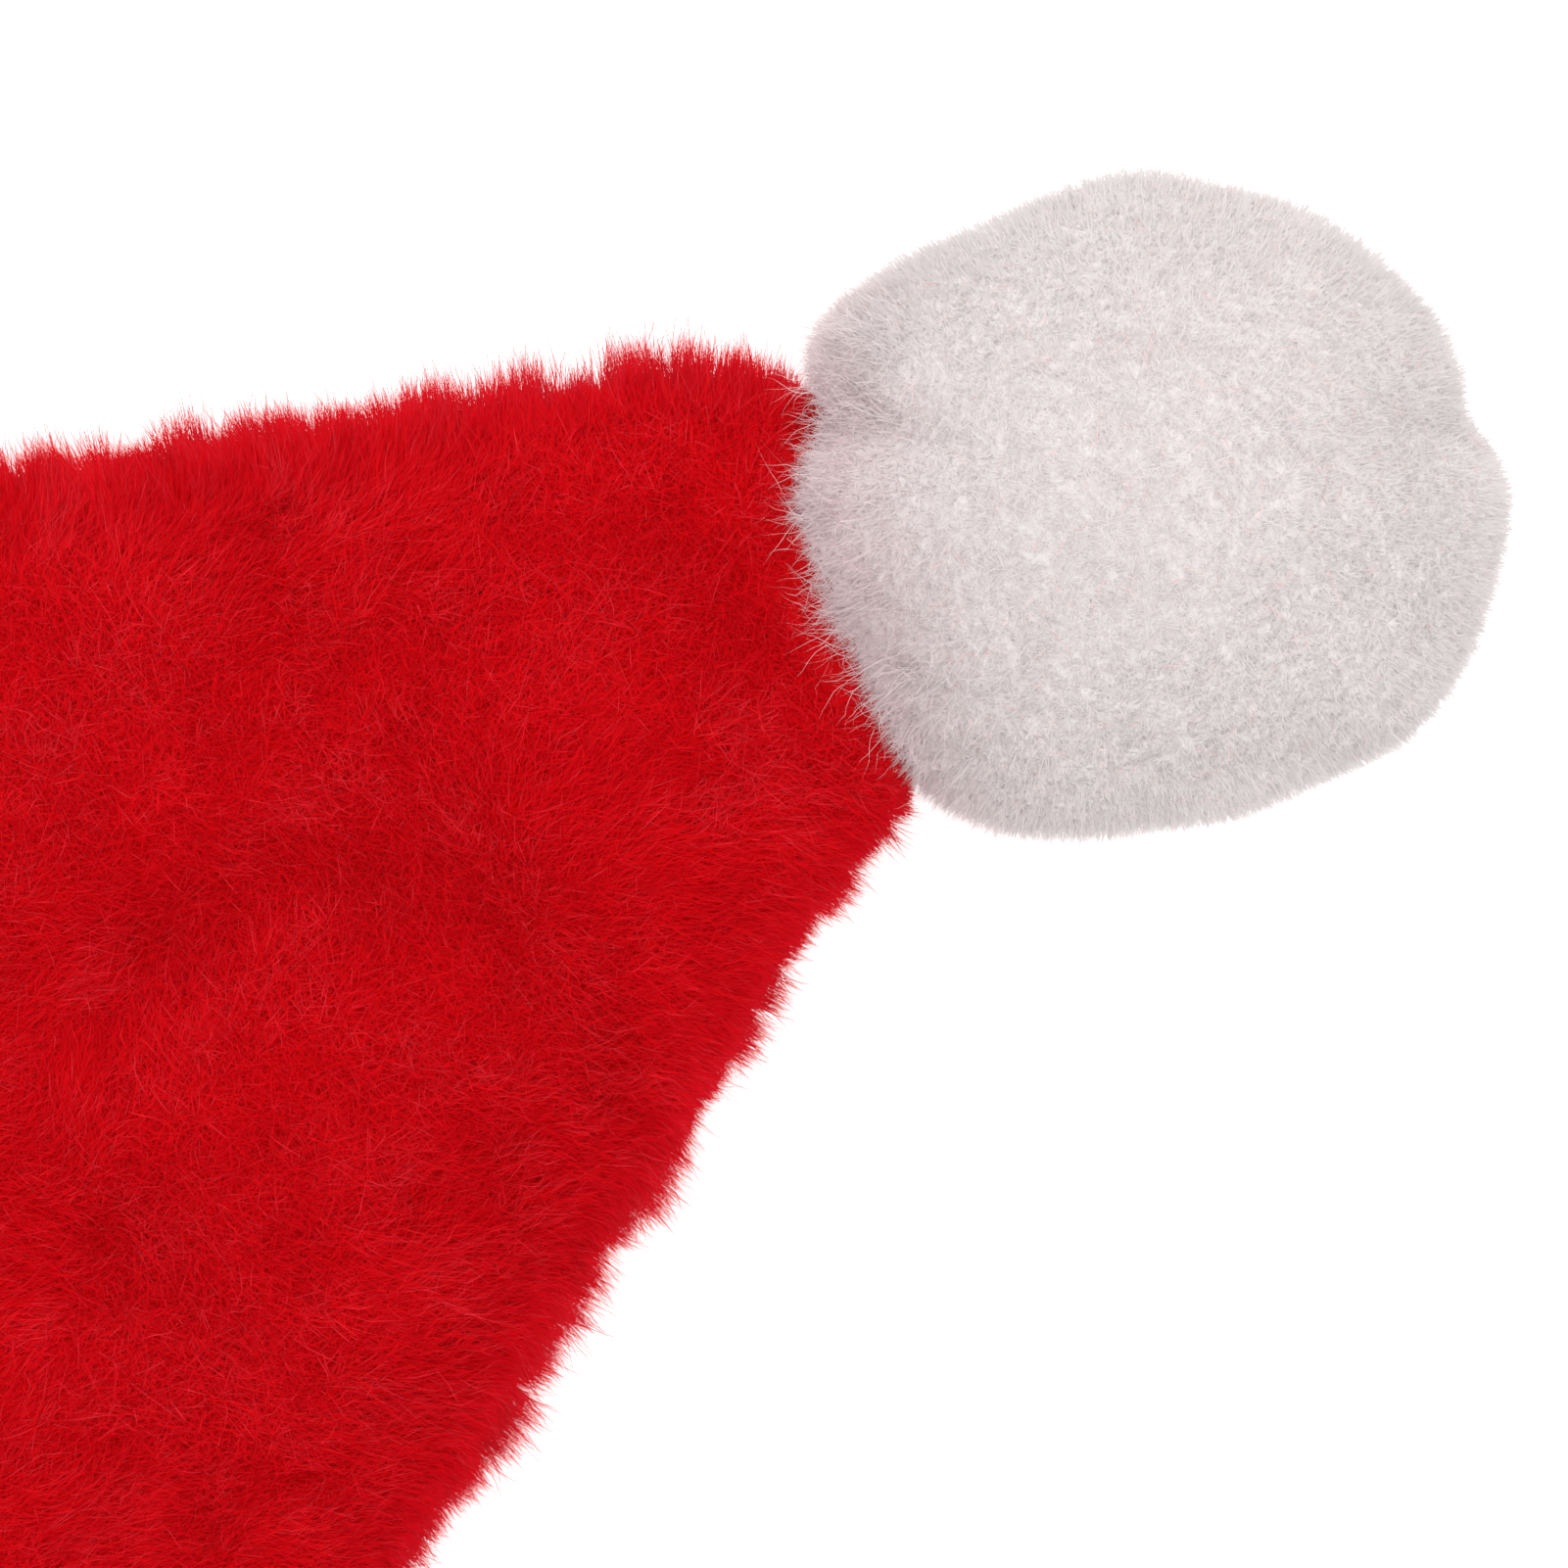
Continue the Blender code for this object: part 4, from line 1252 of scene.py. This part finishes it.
@dataclass(frozen=True)
class PompomForm:
    """The pompom's outer form.

    Attributes:
        from_tip: how far from the tip its middle lies.
        side: how far to the right.
        height: how high.
        outline: its reach to the tips of its pile, seen from above, in even steps of the bearing from +X.
        lumps: small lumps and notches of the outline.
        upright: its reach upwards.
        ripple: how high its low ripples are.
        heart: how far behind the middle the point lies from which all of its surface can be seen.
        aim: how far from the tip the point lies at which the dimple's axis is aimed.
        gap: the gap between the dimple and the crown's nose.
    """

    from_tip: float = 15.0
    side: float = 14.5
    height: float = 39.5
    outline: tuple[float, ...] = (
        41.4, 43.9, 44.7, 44.8, 44.6, 43.3, 43.5, 42.5, 41.8, 40.8, 41.4, 40.5,
        40.9, 44.0, 47.1, 45.6, 46.4, 45.3, 44.6, 45.3, 45.5, 43.4, 41.3, 41.2,
    )
    lumps: tuple[Lump, ...] = (Lump(59.0, 1.0, 6.0), Lump(73.0, -1.5, 4.0), Lump(223.0, -3.0, 4.5))
    upright: float = 41.5
    ripple: float = 0.3
    heart: float = 12.0
    aim: float = 48.0
    gap: float = 0.75

    def centre(self) -> Array:
        """Its middle, in mm."""
        return np.array([self.side, TIP_Y - self.from_tip, self.height])

    def reach(self, directions: Array) -> Array:
        """How far the tips of the pile are from the middle.

        A cubic runs through the outline's steps, with the lumps as bells on it. By the square of the direction's z
        it is blended to the upright reach.

        Args:
            directions: unit directions from the middle.

        Returns:
            The distances in mm.
        """
        bearing = np.degrees(np.arctan2(directions[..., 1], directions[..., 0])) % 360.0
        table = np.array(self.outline)
        step, u = np.divmod(bearing * len(table) / 360.0, 1.0)
        before, here, after, beyond = (table[(step.astype(int) + k) % len(table)] for k in (-1, 0, 1, 2))
        bend = 2.0 * before - 5.0 * here + 4.0 * after - beyond + u * (3.0 * (here - after) + beyond - before)
        level = here + 0.5 * u * (after - before + u * bend)
        for lump in self.lumps:
            level += lump.height * np.exp(-0.5 * ((bearing - lump.bearing) / lump.spread) ** 2)
        level += self.ripple * np.sin(np.radians(3.0 * bearing) + 4.0 * directions[..., 2])
        upright = directions[..., 2] ** 2
        return level * (1.0 - upright) + self.upright * upright

    def clearance(self, places: Array) -> Array:
        """How far places are outside the pompom, in mm, measured from its middle."""
        away = places - self.centre()
        distance = np.linalg.norm(away, axis=-1)
        return distance - self.reach(unit(away))

    def heart_axes(self) -> tuple[Array, Array]:
        """The heart, and the unit direction from it to the crown's nose, around which the dimple lies."""
        axis = unit(np.array([0.0, TIP_Y - self.aim, self.height]) - self.centre())
        return self.centre() - self.heart * axis, axis

    def reach_outside(self, start: Array, directions: Array, inset: float) -> Array:
        """The distance from start to the outside less inset, by repeated correction.

        Args:
            start: the point to measure from.
            directions: unit directions.
            inset: how far below the pile's tips.

        Returns:
            The distances in mm.
        """
        reach = np.full(directions.shape[:-1], self.upright)
        for _ in range(CORRECTIONS):
            away = start + directions * reach[..., None] - self.centre()
            distance = np.linalg.norm(away, axis=-1)
            reach += self.reach(away / distance[..., None]) - inset - distance
        return reach

    def reach_to_nose(self, start: Array, directions: Array) -> Array:
        """The distance from start to the dimple round the crown's nose, infinite where a direction misses it.

        The nose is the paraboloid (x / across)^2 + (z / rise)^2 = -widen^2 y / length, out by the gap.

        Args:
            start: the point to measure from.
            directions: unit directions.

        Returns:
            The distances in mm.
        """
        cloth = CrownCloth()
        left, right, bottom, top = cloth.sizes(np.array([cloth.nose_back]))[0]
        length = cloth.nose_back - cloth.nose_tip
        across, rise = max(left, right), (top - bottom) / 2.0
        widen = 1.0 + self.gap / rise
        px, py, pz = start - np.array([0.0, TIP_Y - cloth.nose_tip + self.gap, (top + bottom) / 2.0])
        x, y, z = np.moveaxis(directions, -1, 0)
        a = (x / across) ** 2 + (z / rise) ** 2
        b = 2.0 * (px * x / across**2 + pz * z / rise**2) + widen**2 * y / length
        c = (px / across) ** 2 + (pz / rise) ** 2 + widen**2 * py / length
        inside = b * b - 4.0 * a * c
        reach = (-b - np.sqrt(np.maximum(inside, 0.0))) / np.maximum(2.0 * a, 1e-9)
        return np.where((inside > 0.0) & (reach > 0.0), reach, np.inf)


@dataclass(frozen=True)
class CrownGrooming(Grooming):
    """How the crown's pile is groomed.

    On top the nap points to the tip, with ruffled places. On the steep sides the pile stands out in spiky tufts,
    leant back a little from the tip. Beside the pompom it is shorter, so that it doesn't come through.

    Attributes:
        pompom: the pompom's form.
        cloth: the crown's surface.
        full_at: how far from the pompom a fibre has its full length, in mm.
        back_from: where the sides' lean back starts and is full.
        back_lean: the share of its lean that a side's fibre leans back.
        ruffled: how large the ruffled places are, in mm.
        left: the length of the left side's fibres as a share, at some distances from the tip.
        right: the same of the right side's.
    """

    pompom: PompomForm = field(default_factory=PompomForm)
    cloth: CrownCloth = field(default_factory=CrownCloth)
    full_at: float = 7.0
    back_from: tuple[float, float] = (75.0, 105.0)
    back_lean: float = 0.35
    ruffled: float = 60.0
    left: tuple[tuple[float, float], ...] = ((40.0, 0.75), (50.0, 0.9), (62.0, 1.25), (110.0, 1.15), (150.0, 1.25))
    right: tuple[tuple[float, float], ...] = ((45.0, 0.8), (95.0, 0.85), (112.0, 1.05), (140.0, 1.15), (165.0, 0.9))

    def at(self, roots: Roots) -> Groom:
        """The grooming of the fibre on each root."""
        places = roots.places
        from_tip = TIP_Y - places[:, 1]
        steep = smooth_step(0.75, 0.3, np.abs(roots.normals[:, 2]))
        left, right = (np.interp(from_tip, *zip(*table)) for table in (self.left, self.right))
        length = 1.0 + (np.where(places[:, 0] < 0.0, left, right) - 1.0) * steep
        clear = np.clip((self.pompom.clearance(places) + 2.0) / self.full_at, 0.0, 1.0)
        back = 0.1 - (0.1 + self.back_lean) * smooth_step(*self.back_from, from_tip)
        ruffle = smooth_step(-0.6, 1.2, waves(places, self.ruffled, 90) + 0.5 * smooth_step(170.0, 90.0, from_tip))
        return Groom(clear * length, 1.0 + (back - 1.0) * steep, ruffle * (1.0 - 0.6 * steep), steep)


@dataclass(frozen=True)
class Crown:
    """The red cone of plush: a closed sheet of cloth and the pile on it.

    Attributes:
        cloth: its surface.
        wall: the cloth's thickness.
        under_pile: how far the close, short pile lifts the ground over the cloth.
        columns: the mesh's points round the hat.
        row_step: the distance between the mesh's rows.
    """

    cloth: CrownCloth = field(default_factory=CrownCloth)
    wall: float = 3.0
    under_pile: float = 2.4
    columns: int = 128
    row_step: float = 3.0

    def rows(self, first: float, last: float, step: float) -> Array:
        """Places from first to last: close together at the rounded nose, then about a step apart."""
        back = self.cloth.nose_back
        nose = first + (back - first) * np.linspace(0.12, 1.0, 9, endpoint=False) ** 2
        return np.concatenate((nose, np.linspace(back, last, round((last - back) / step) + 1)))

    def lift(self, from_tip: Array) -> Array:
        """How far the ground lies over the cloth: the under-pile, which thins out at the nose and at the seam."""
        start = smooth_step(self.cloth.nose_tip, self.cloth.nose_back, from_tip)
        return self.under_pile * start * (1.0 - smooth_step(SEAM_LINE - 8.0, SEAM_LINE, from_tip))

    def build_cloth(self, wardrobe: Wardrobe) -> bpy.types.Object:
        """The closed sheet: outside from the nose to the edge, and back inside."""
        cloth = self.cloth
        inner_tip = cloth.nose_tip + 4.0
        outer_rows = self.rows(cloth.nose_tip, CROWN_EDGE, self.row_step)
        inner_rows = self.rows(inner_tip, CROWN_EDGE, 2.0 * self.row_step)[::-1]
        outer = on_floor(cloth.places(outer_rows, self.columns, self.lift(outer_rows)))
        inner = cloth.places(inner_rows, self.columns, -self.wall)
        middle = cloth.sizes(np.array([cloth.nose_back]))[0, 2:].mean()
        start, end = (np.array([0.0, TIP_Y - tip, middle]) for tip in (cloth.nose_tip, inner_tip))
        piece = quads_to_mesh(
            "crown_cloth", np.concatenate((outer, inner)), start, end, loop=False, inside_from=len(outer_rows) - 1,
        )
        return dress(piece, "crown", "red_plush", wardrobe.red_ground, wardrobe.red_back)

    def build_pile(self, wardrobe: Wardrobe) -> list[bpy.types.Object]:
        """The pile in three pieces, one after the other from the tip to the band."""
        cloth = self.cloth
        rows = np.linspace(cloth.nose_tip + 3.0, SEAM_LINE + 2.0, 260)
        patch = Patch.of(on_floor(cloth.places(rows, 512, self.lift(rows))))
        far = smooth_step(195.0, 235.0, TIP_Y - row_means(patch.places)[..., 1])
        # Pressed pile stays hidden, and the lower crown is only seen from farther off
        density = (1.0 - 0.93 * patch.pressed(16.0, 6.0)) * (1.0 - 0.5 * far)
        pile = Pile(
            sorts=(
                Fibre(0.64, 2, 5.2, (0.60, 1.15), 0.21, (52.0, 52.0), 34.0, gather=(0.05, 0.08)),
                Fibre(0.28, 3, 7.2, (0.60, 1.15), 0.16, (28.0, 60.0), 34.0, curl=0.10, gather=(0.05, 0.15)),
                Fibre(0.08, 4, 8.6, (0.50, 1.20), 0.12, (12.0, 50.0), 40.0, curl=0.20, gather=(0.0, 0.25)),
            ),
            triangles=585_000, wisps=Tufts(2.4, 4), tufts=Tufts(6.5, 5), unlike_tufts=0.3,
            swirl=(12.0, 12.0), swirl_span=(46.0, 12.0), roll=38.0, seed=11, tilt=0.15,
        )
        names = ("crown_pile_tip", "crown_pile_middle", "crown_pile_brim")
        return [
            dress(strands_to_mesh(name, strands), "crown", "red_plush", wardrobe.red_pile)
            for name, strands in zip(names, pile.cover(patch, density, CrownGrooming(), pieces=len(names)))
        ]

    def build(self, wardrobe: Wardrobe) -> None:
        cloth, pile = self.build_cloth(wardrobe), self.build_pile(wardrobe)
        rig.sheet(cloth, flat=(0.580, 0.337), area=0.098, held="laid", with_pieces=pile)
        LOG.info("crown: %d faces of cloth, %d triangles of pile", len(cloth.data.polygons),
                 sum(len(piece.data.polygons) for piece in pile))


@dataclass(frozen=True)
class Band:
    """The white cuff, folded over the crown's edge: its cloth and its pile.

    Attributes:
        cloth: the crown's surface, which it follows.
        mouth: where the hat ends.
        over: how far it stands over the crown's cloth.
        wall: how far inside it the cloth's inner face lies.
        rounding: how rounded its two edges are.
        gap: its gap to the crown's cloth.
        columns: the mesh's points round the hat.
    """

    cloth: CrownCloth = field(default_factory=CrownCloth)
    mouth: float = 379.0
    over: float = 7.0
    wall: float = 3.0
    rounding: float = 6.0
    gap: float = 0.4
    columns: int = 144

    def outer_profile(self) -> Array:
        """The outer face's rows, as from_tip and height over the cloth: a quarter round, the cuff, a quarter round."""
        turn = np.linspace(0.0, math.pi / 2.0, 6)
        start = np.column_stack((
            SEAM_LINE - 1.0 + self.rounding * 0.6 * (1.0 - np.cos(turn)),
            self.gap + (self.over - self.gap) * np.sin(turn),
        ))
        cuff = np.linspace(start[-1, 0] + 3.0, self.mouth - self.rounding, 17)
        end = np.column_stack((
            self.mouth - self.rounding + self.rounding * np.sin(turn[1:]),
            self.over * np.cos(turn[1:]) - self.wall * 0.5 * (1.0 - np.cos(turn[1:])),
        ))
        return np.concatenate((start, np.column_stack((cuff, np.full(len(cuff), self.over))), end))

    def build_cloth(self, wardrobe: Wardrobe) -> bpy.types.Object:
        """The closed cuff: its outer face, the mouth's edge, its inner face and the face on the crown's edge."""
        outer = self.outer_profile()
        back = np.array([
            (self.mouth - 0.3 * self.rounding, -0.85 * self.wall),
            (self.mouth - self.rounding, -self.wall),
            ((self.mouth + CROWN_EDGE) / 2.0, -self.wall),
            (CROWN_EDGE + self.gap, -self.wall),
            (CROWN_EDGE + self.gap, self.gap),
            (SEAM_LINE + 6.0, self.gap),
        ])
        rings = self.cloth.places(np.append(outer[:, 0], back[:, 0]), self.columns, np.append(outer[:, 1], back[:, 1]))
        rings[: len(outer)] = on_floor(rings[: len(outer)])
        piece = quads_to_mesh("band_cloth", rings, None, None, loop=True, inside_from=len(outer))
        return dress(piece, "band", "white_plush", wardrobe.white_ground, wardrobe.white_back)

    def build_pile(self, wardrobe: Wardrobe) -> bpy.types.Object:
        """The cuff's pile."""
        profile = self.outer_profile()
        along = np.linspace(0.0, len(profile) - 1.0, 120)
        numbers = np.arange(len(profile))
        fine = np.column_stack([np.interp(along, numbers, profile[:, k]) for k in range(2)])
        patch = Patch.of(on_floor(self.cloth.places(fine[:, 0], 512, fine[:, 1])))
        density = 1.0 - 0.92 * patch.pressed(14.0, 5.0)
        pile = Pile(
            sorts=(
                Fibre(0.62, 2, 5.2, (0.65, 1.15), 0.42, (54.0, 54.0), 85.0, gather=(0.05, 0.05)),
                Fibre(0.38, 3, 6.4, (0.60, 1.10), 0.28, (20.0, 58.0), 70.0, curl=0.08, gather=(0.08, 0.20)),
            ),
            triangles=132_000, wisps=Tufts(3.0, 7), tufts=Tufts(6.5, 8), unlike_tufts=0.25, swirl=(16.0, 14.0),
            swirl_span=(40.0, 14.0), roll=14.0, seed=31,
        )
        strands = pile.cover(patch, density, Grooming())[0]
        return dress(strands_to_mesh("band_pile", strands), "band", "white_plush", wardrobe.white_pile)

    def build(self, wardrobe: Wardrobe) -> None:
        cloth, pile = self.build_cloth(wardrobe), self.build_pile(wardrobe)
        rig.sheet(cloth, flat=(0.090, 0.640), held="folded", rests_on=["crown_cloth"], with_pieces=[pile])
        LOG.info("band: %d faces of cloth, %d triangles of pile", len(cloth.data.polygons), len(pile.data.polygons))


@dataclass(frozen=True)
class Pompom:
    """The white ball: a stuffed core, its pile, and the lint that clings to it.

    Attributes:
        form: its outer form.
        pile_depth: how far below the tips of the pile the core lies.
        core_grid: the core's rings from the dimple to the far side, and its points round.
        pile_grid: the same of the surface that the pile is spread on.
        fringe_from: the heights in mm between which the fringe sets in.
        fringe_to: the heights between which it thins out upwards.
        lint_count: how many threads of lint it has.
        lint_length: the shortest and longest, in mm.
        lint_bend: how far one bends at each of its points, in radians.
    """

    form: PompomForm = field(default_factory=PompomForm)
    pile_depth: float = 1.7
    core_grid: tuple[int, int] = (56, 96)
    pile_grid: tuple[int, int] = (180, 360)
    fringe_from: tuple[float, float] = (47.0, 51.0)
    fringe_to: tuple[float, float] = (70.0, 60.0)
    lint_count: int = 800
    lint_length: tuple[float, float] = (1.5, 6.5)
    lint_bend: float = 0.7

    def grid(self, rings: int, columns: int, inset: float) -> tuple[Array, Array]:
        """The surface seen from the heart, on rings round the dimple's axis.

        Args:
            rings: how many rings, from the axis to straight behind.
            columns: how many points round.
            inset: how far below the pile's tips the surface lies.

        Returns:
            The points in mm as rings by columns by 3, and whether each lies in the dimple.
        """
        heart, axis = self.form.heart_axes()
        side = unit(np.cross(axis, UP))
        up = np.cross(side, axis)
        angle = (np.arange(rings) + 0.5)[:, None, None] * math.pi / rings
        turn = np.linspace(0.0, 2.0 * math.pi, columns, endpoint=False)[None, :, None]
        directions = np.cos(angle) * axis + np.sin(angle) * (np.cos(turn) * side + np.sin(turn) * up)
        outside = self.form.reach_outside(heart, directions, inset)
        dimple = self.form.reach_to_nose(heart, directions)
        places = heart + directions * np.minimum(outside, dimple)[..., None]
        return on_floor(places), dimple < outside

    def build_core(self, wardrobe: Wardrobe) -> bpy.types.Object:
        """The closed stuffed ball with its dimple."""
        places, _ = self.grid(*self.core_grid, self.pile_depth)
        piece = quads_to_mesh("pompom_core", places, places[0].mean(axis=0), places[-1].mean(axis=0), loop=False)
        dress(piece, "pompom", "white_pompom", wardrobe.pompom_ground)
        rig.padded(piece, fill=0.7)
        return piece

    def build_pile(self, wardrobe: Wardrobe) -> bpy.types.Object:
        """The ball's pile."""
        places, in_dimple = self.grid(*self.pile_grid, self.pile_depth)
        patch = Patch.of(places)
        outward = unit(places - self.form.centre())
        patch.normals = unit(outward + 0.5 * patch.normals)
        patch.nap = unit(aside(outward, 0.3) + 0.7 * patch.nap)
        shown = ~(in_dimple[1:] | in_dimple[:-1])
        density = shown * (1.0 - 0.8 * smooth_step(6.0, 2.0, row_means(places)[..., 2]))
        pile = Pile(
            sorts=(
                Fibre(0.78, 2, 3.0, (0.60, 1.10), 0.16, (64.0, 64.0), 80.0),
                Fibre(0.20, 3, 2.9, (0.65, 1.10), 0.10, (30.0, 64.0), 60.0),
                Fibre(0.02, 5, 3.4, (0.55, 1.15), 0.07, (6.0, 55.0), 40.0, curl=0.30),
            ),
            triangles=190_000, wisps=Tufts(2.0, 2), tufts=Tufts(5.0, 3), unlike_tufts=0.1, swirl=(40.0, 20.0),
            swirl_span=(40.0, 12.0), roll=4.0, seed=51, lift=1.0,
        )
        strands = pile.cover(patch, density, Grooming())[0]
        return dress(strands_to_mesh("pompom_pile", strands), "pompom", "white_pompom", wardrobe.pompom_pile)

    def build_fringe(self, wardrobe: Wardrobe) -> bpy.types.Object:
        """The longer, curly fibres with which the ball overhangs the crown."""
        places, _ = self.grid(*self.pile_grid, self.pile_depth)
        _, axis = self.form.heart_axes()
        outward = unit(places - self.form.centre())
        patch = Patch(places, outward, np.broadcast_to(unit(axis - 0.25 * UP), places.shape))
        near = smooth_step(0.45, 0.75, dot(outward, axis)[..., 0])
        for low, high in (self.fringe_from, self.fringe_to):
            near = near * smooth_step(low, high, places[..., 2])
        near = near * (0.15 + smooth_step(-0.2, 1.0, waves(places, 9.0, 61)))
        pile = Pile(
            sorts=(Fibre(1.0, 9, 9.0, (0.35, 1.15), 0.14, (15.0, 60.0), 30.0, curl=0.55),),
            triangles=34_000, wisps=Tufts(2.0, 12), tufts=Tufts(4.0, 13), unlike_tufts=0.4, swirl=(20.0, 30.0),
            swirl_span=(20.0, 6.0), roll=30.0, seed=61, lift=0.6,
        )
        strands = pile.cover(patch, row_means(near), Grooming())[0]
        return dress(strands_to_mesh("pompom_fringe", strands), "pompom", "white_pompom", wardrobe.pompom_pile)

    def build_lint(self, wardrobe: Wardrobe) -> bpy.types.Object:
        """Fine loose red threads that cling to the ball: random walks just over the tips of its pile."""
        random = np.random.default_rng(77)
        count, points = self.lint_count, 9
        away = unit(random.normal(size=(count, 3)))
        ahead = unit(np.cross(away, random.normal(size=(count, 3))))
        length = random.uniform(*self.lint_length, count) / points
        centre = self.form.centre()
        spine = []
        for _ in range(points):
            spine.append(centre + away * (self.form.reach(away) + 0.1)[:, None])
            away = unit(away + ahead * (length / self.form.upright)[:, None])
            bend = random.normal(0.0, self.lint_bend, (count, 1))
            ahead = unit(ahead - away * dot(ahead, away))
            ahead = ahead * np.cos(bend) + np.cross(away, ahead) * np.sin(bend)
        spine = on_floor(np.stack(spine, axis=1), LINT_FLOOR)
        strands = Strands.ribbons(spine, away, np.full(count, 0.11), random.uniform(0.0, 1.0, count), np.zeros(count))
        return dress(strands_to_mesh("pompom_lint", strands), "pompom", "white_pompom", wardrobe.lint)

    def build(self, wardrobe: Wardrobe) -> None:
        """Builds the core, its pile, the fringe over the crown and the lint."""
        core, pile = self.build_core(wardrobe), self.build_pile(wardrobe)
        self.build_fringe(wardrobe)
        self.build_lint(wardrobe)
        LOG.info("pompom: %d faces of core, %d triangles of pile", len(core.data.polygons), len(pile.data.polygons))


@dataclass(frozen=True)
class Studio:
    """The floor, the light and the camera.

    Attributes:
        look_at: the point straight under the camera, at the height that the framing is measured at, in metres.
        view_width: the width of the picture at that point, in metres.
        distance: the camera's height over it.
        turn: how far the picture's right edge is turned from +X, in degrees.
        floor_size: the floor's side.
        floor_colour: its colour.
        floor_glow: its own light, in which the shadows vanish.
        light_distance: how far from look_at the lights are, in metres.
        sky: the strength of the even light all round.
        sensor: the camera's sensor width, in mm.
    """

    look_at: tuple[float, float, float] = (0.0202, 0.1046, 0.0375)
    view_width: float = 0.1952
    distance: float = 1.06
    turn: float = 58.0
    floor_size: float = 6.0
    floor_colour: Colour = (0.92, 0.92, 0.92)
    floor_glow: float = 0.45
    light_distance: float = 1.5
    sky: float = 1.25
    sensor: float = 36.0

    def build_floor(self) -> None:
        """A plain pale floor."""
        half = self.floor_size / 2.0
        mesh = bpy.data.meshes.new("floor")
        mesh.from_pydata([(-half, -half, 0.0), (half, -half, 0.0), (half, half, 0.0), (-half, half, 0.0)], [],
                         [(0, 1, 2, 3)])
        material, nodes = new_material("floor")
        shader = nodes.add("BsdfPrincipled", {
            "Base Color": rgba(self.floor_colour), "Roughness": 0.9, "Specular IOR Level": 0.1,
            "Emission Color": rgba((1.0, 1.0, 1.0)), "Emission Strength": self.floor_glow,
        })
        nodes.add("OutputMaterial", {"Surface": shader.outputs[0]})
        mesh.materials.append(material)
        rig.stage(add_object("floor", mesh))

    def add_light(self, name: str, towards: tuple[float, float, float], power: float, size: float) -> None:
        """Adds a square soft light that shines on the hat from a direction.

        Args:
            name: its name.
            towards: the direction from the hat to it, in the picture: right, up, and towards the camera.
            power: its power in watts.
            size: its side in metres.
        """
        turn = math.radians(self.turn)
        right, up, near = unit(np.array(towards))
        way = np.array([
            right * math.cos(turn) - up * math.sin(turn), right * math.sin(turn) + up * math.cos(turn), near,
        ])
        light = bpy.data.lights.new(name, "AREA")
        light.energy, light.size, light.shape = power, size, "SQUARE"
        made = add_object(name, light)
        made.location = np.array(self.look_at) + self.light_distance * way
        made.rotation_euler = (0.0, math.acos(float(way[2])), math.atan2(float(way[1]), float(way[0])))

    def build(self) -> None:
        """Builds the floor, a soft even light with one side a little stronger, and the camera."""
        self.build_floor()
        world = bpy.data.worlds.new("studio")
        world.use_nodes = True
        background = world.node_tree.nodes["Background"]
        background.inputs["Color"].default_value = rgba((1.0, 1.0, 1.0))
        background.inputs["Strength"].default_value = self.sky
        bpy.context.scene.world = world
        bpy.context.scene.view_settings.view_transform = "Standard"
        self.add_light("key", (-0.25, 0.85, 1.1), 6.0, 1.2)
        self.add_light("fill", (0.5, -0.6, 1.6), 4.0, 1.4)
        camera_data = bpy.data.cameras.new("camera")
        camera_data.sensor_width = self.sensor
        camera_data.lens = self.sensor * self.distance / self.view_width
        camera = add_object("camera", camera_data)
        x, y, z = self.look_at
        camera.location = (x, y, z + self.distance)
        camera.rotation_euler = (0.0, 0.0, math.radians(self.turn))
        camera_data.clip_start, camera_data.clip_end = 0.01, 20.0
        bpy.context.scene.camera = camera


def write_sizes() -> None:
    """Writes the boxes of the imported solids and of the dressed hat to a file, to be compared."""
    boxes = {"cad": CAD_BOX, "visual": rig.bounds()}
    plain = {name: [[float(value) for value in corner] for corner in box] for name, box in boxes.items()}
    SIZE_FILE.write_text(json.dumps(plain, indent=1))


def main() -> None:
    """Builds the studio and the hat, piece by piece."""
    logging.basicConfig(level=logging.INFO, format="%(name)s: %(message)s")
    Studio().build()
    wardrobe = Wardrobe.open()
    for part in (Crown(), Band(), Pompom()):
        part.build(wardrobe)
    write_sizes()


if __name__ == "__main__":
    main()
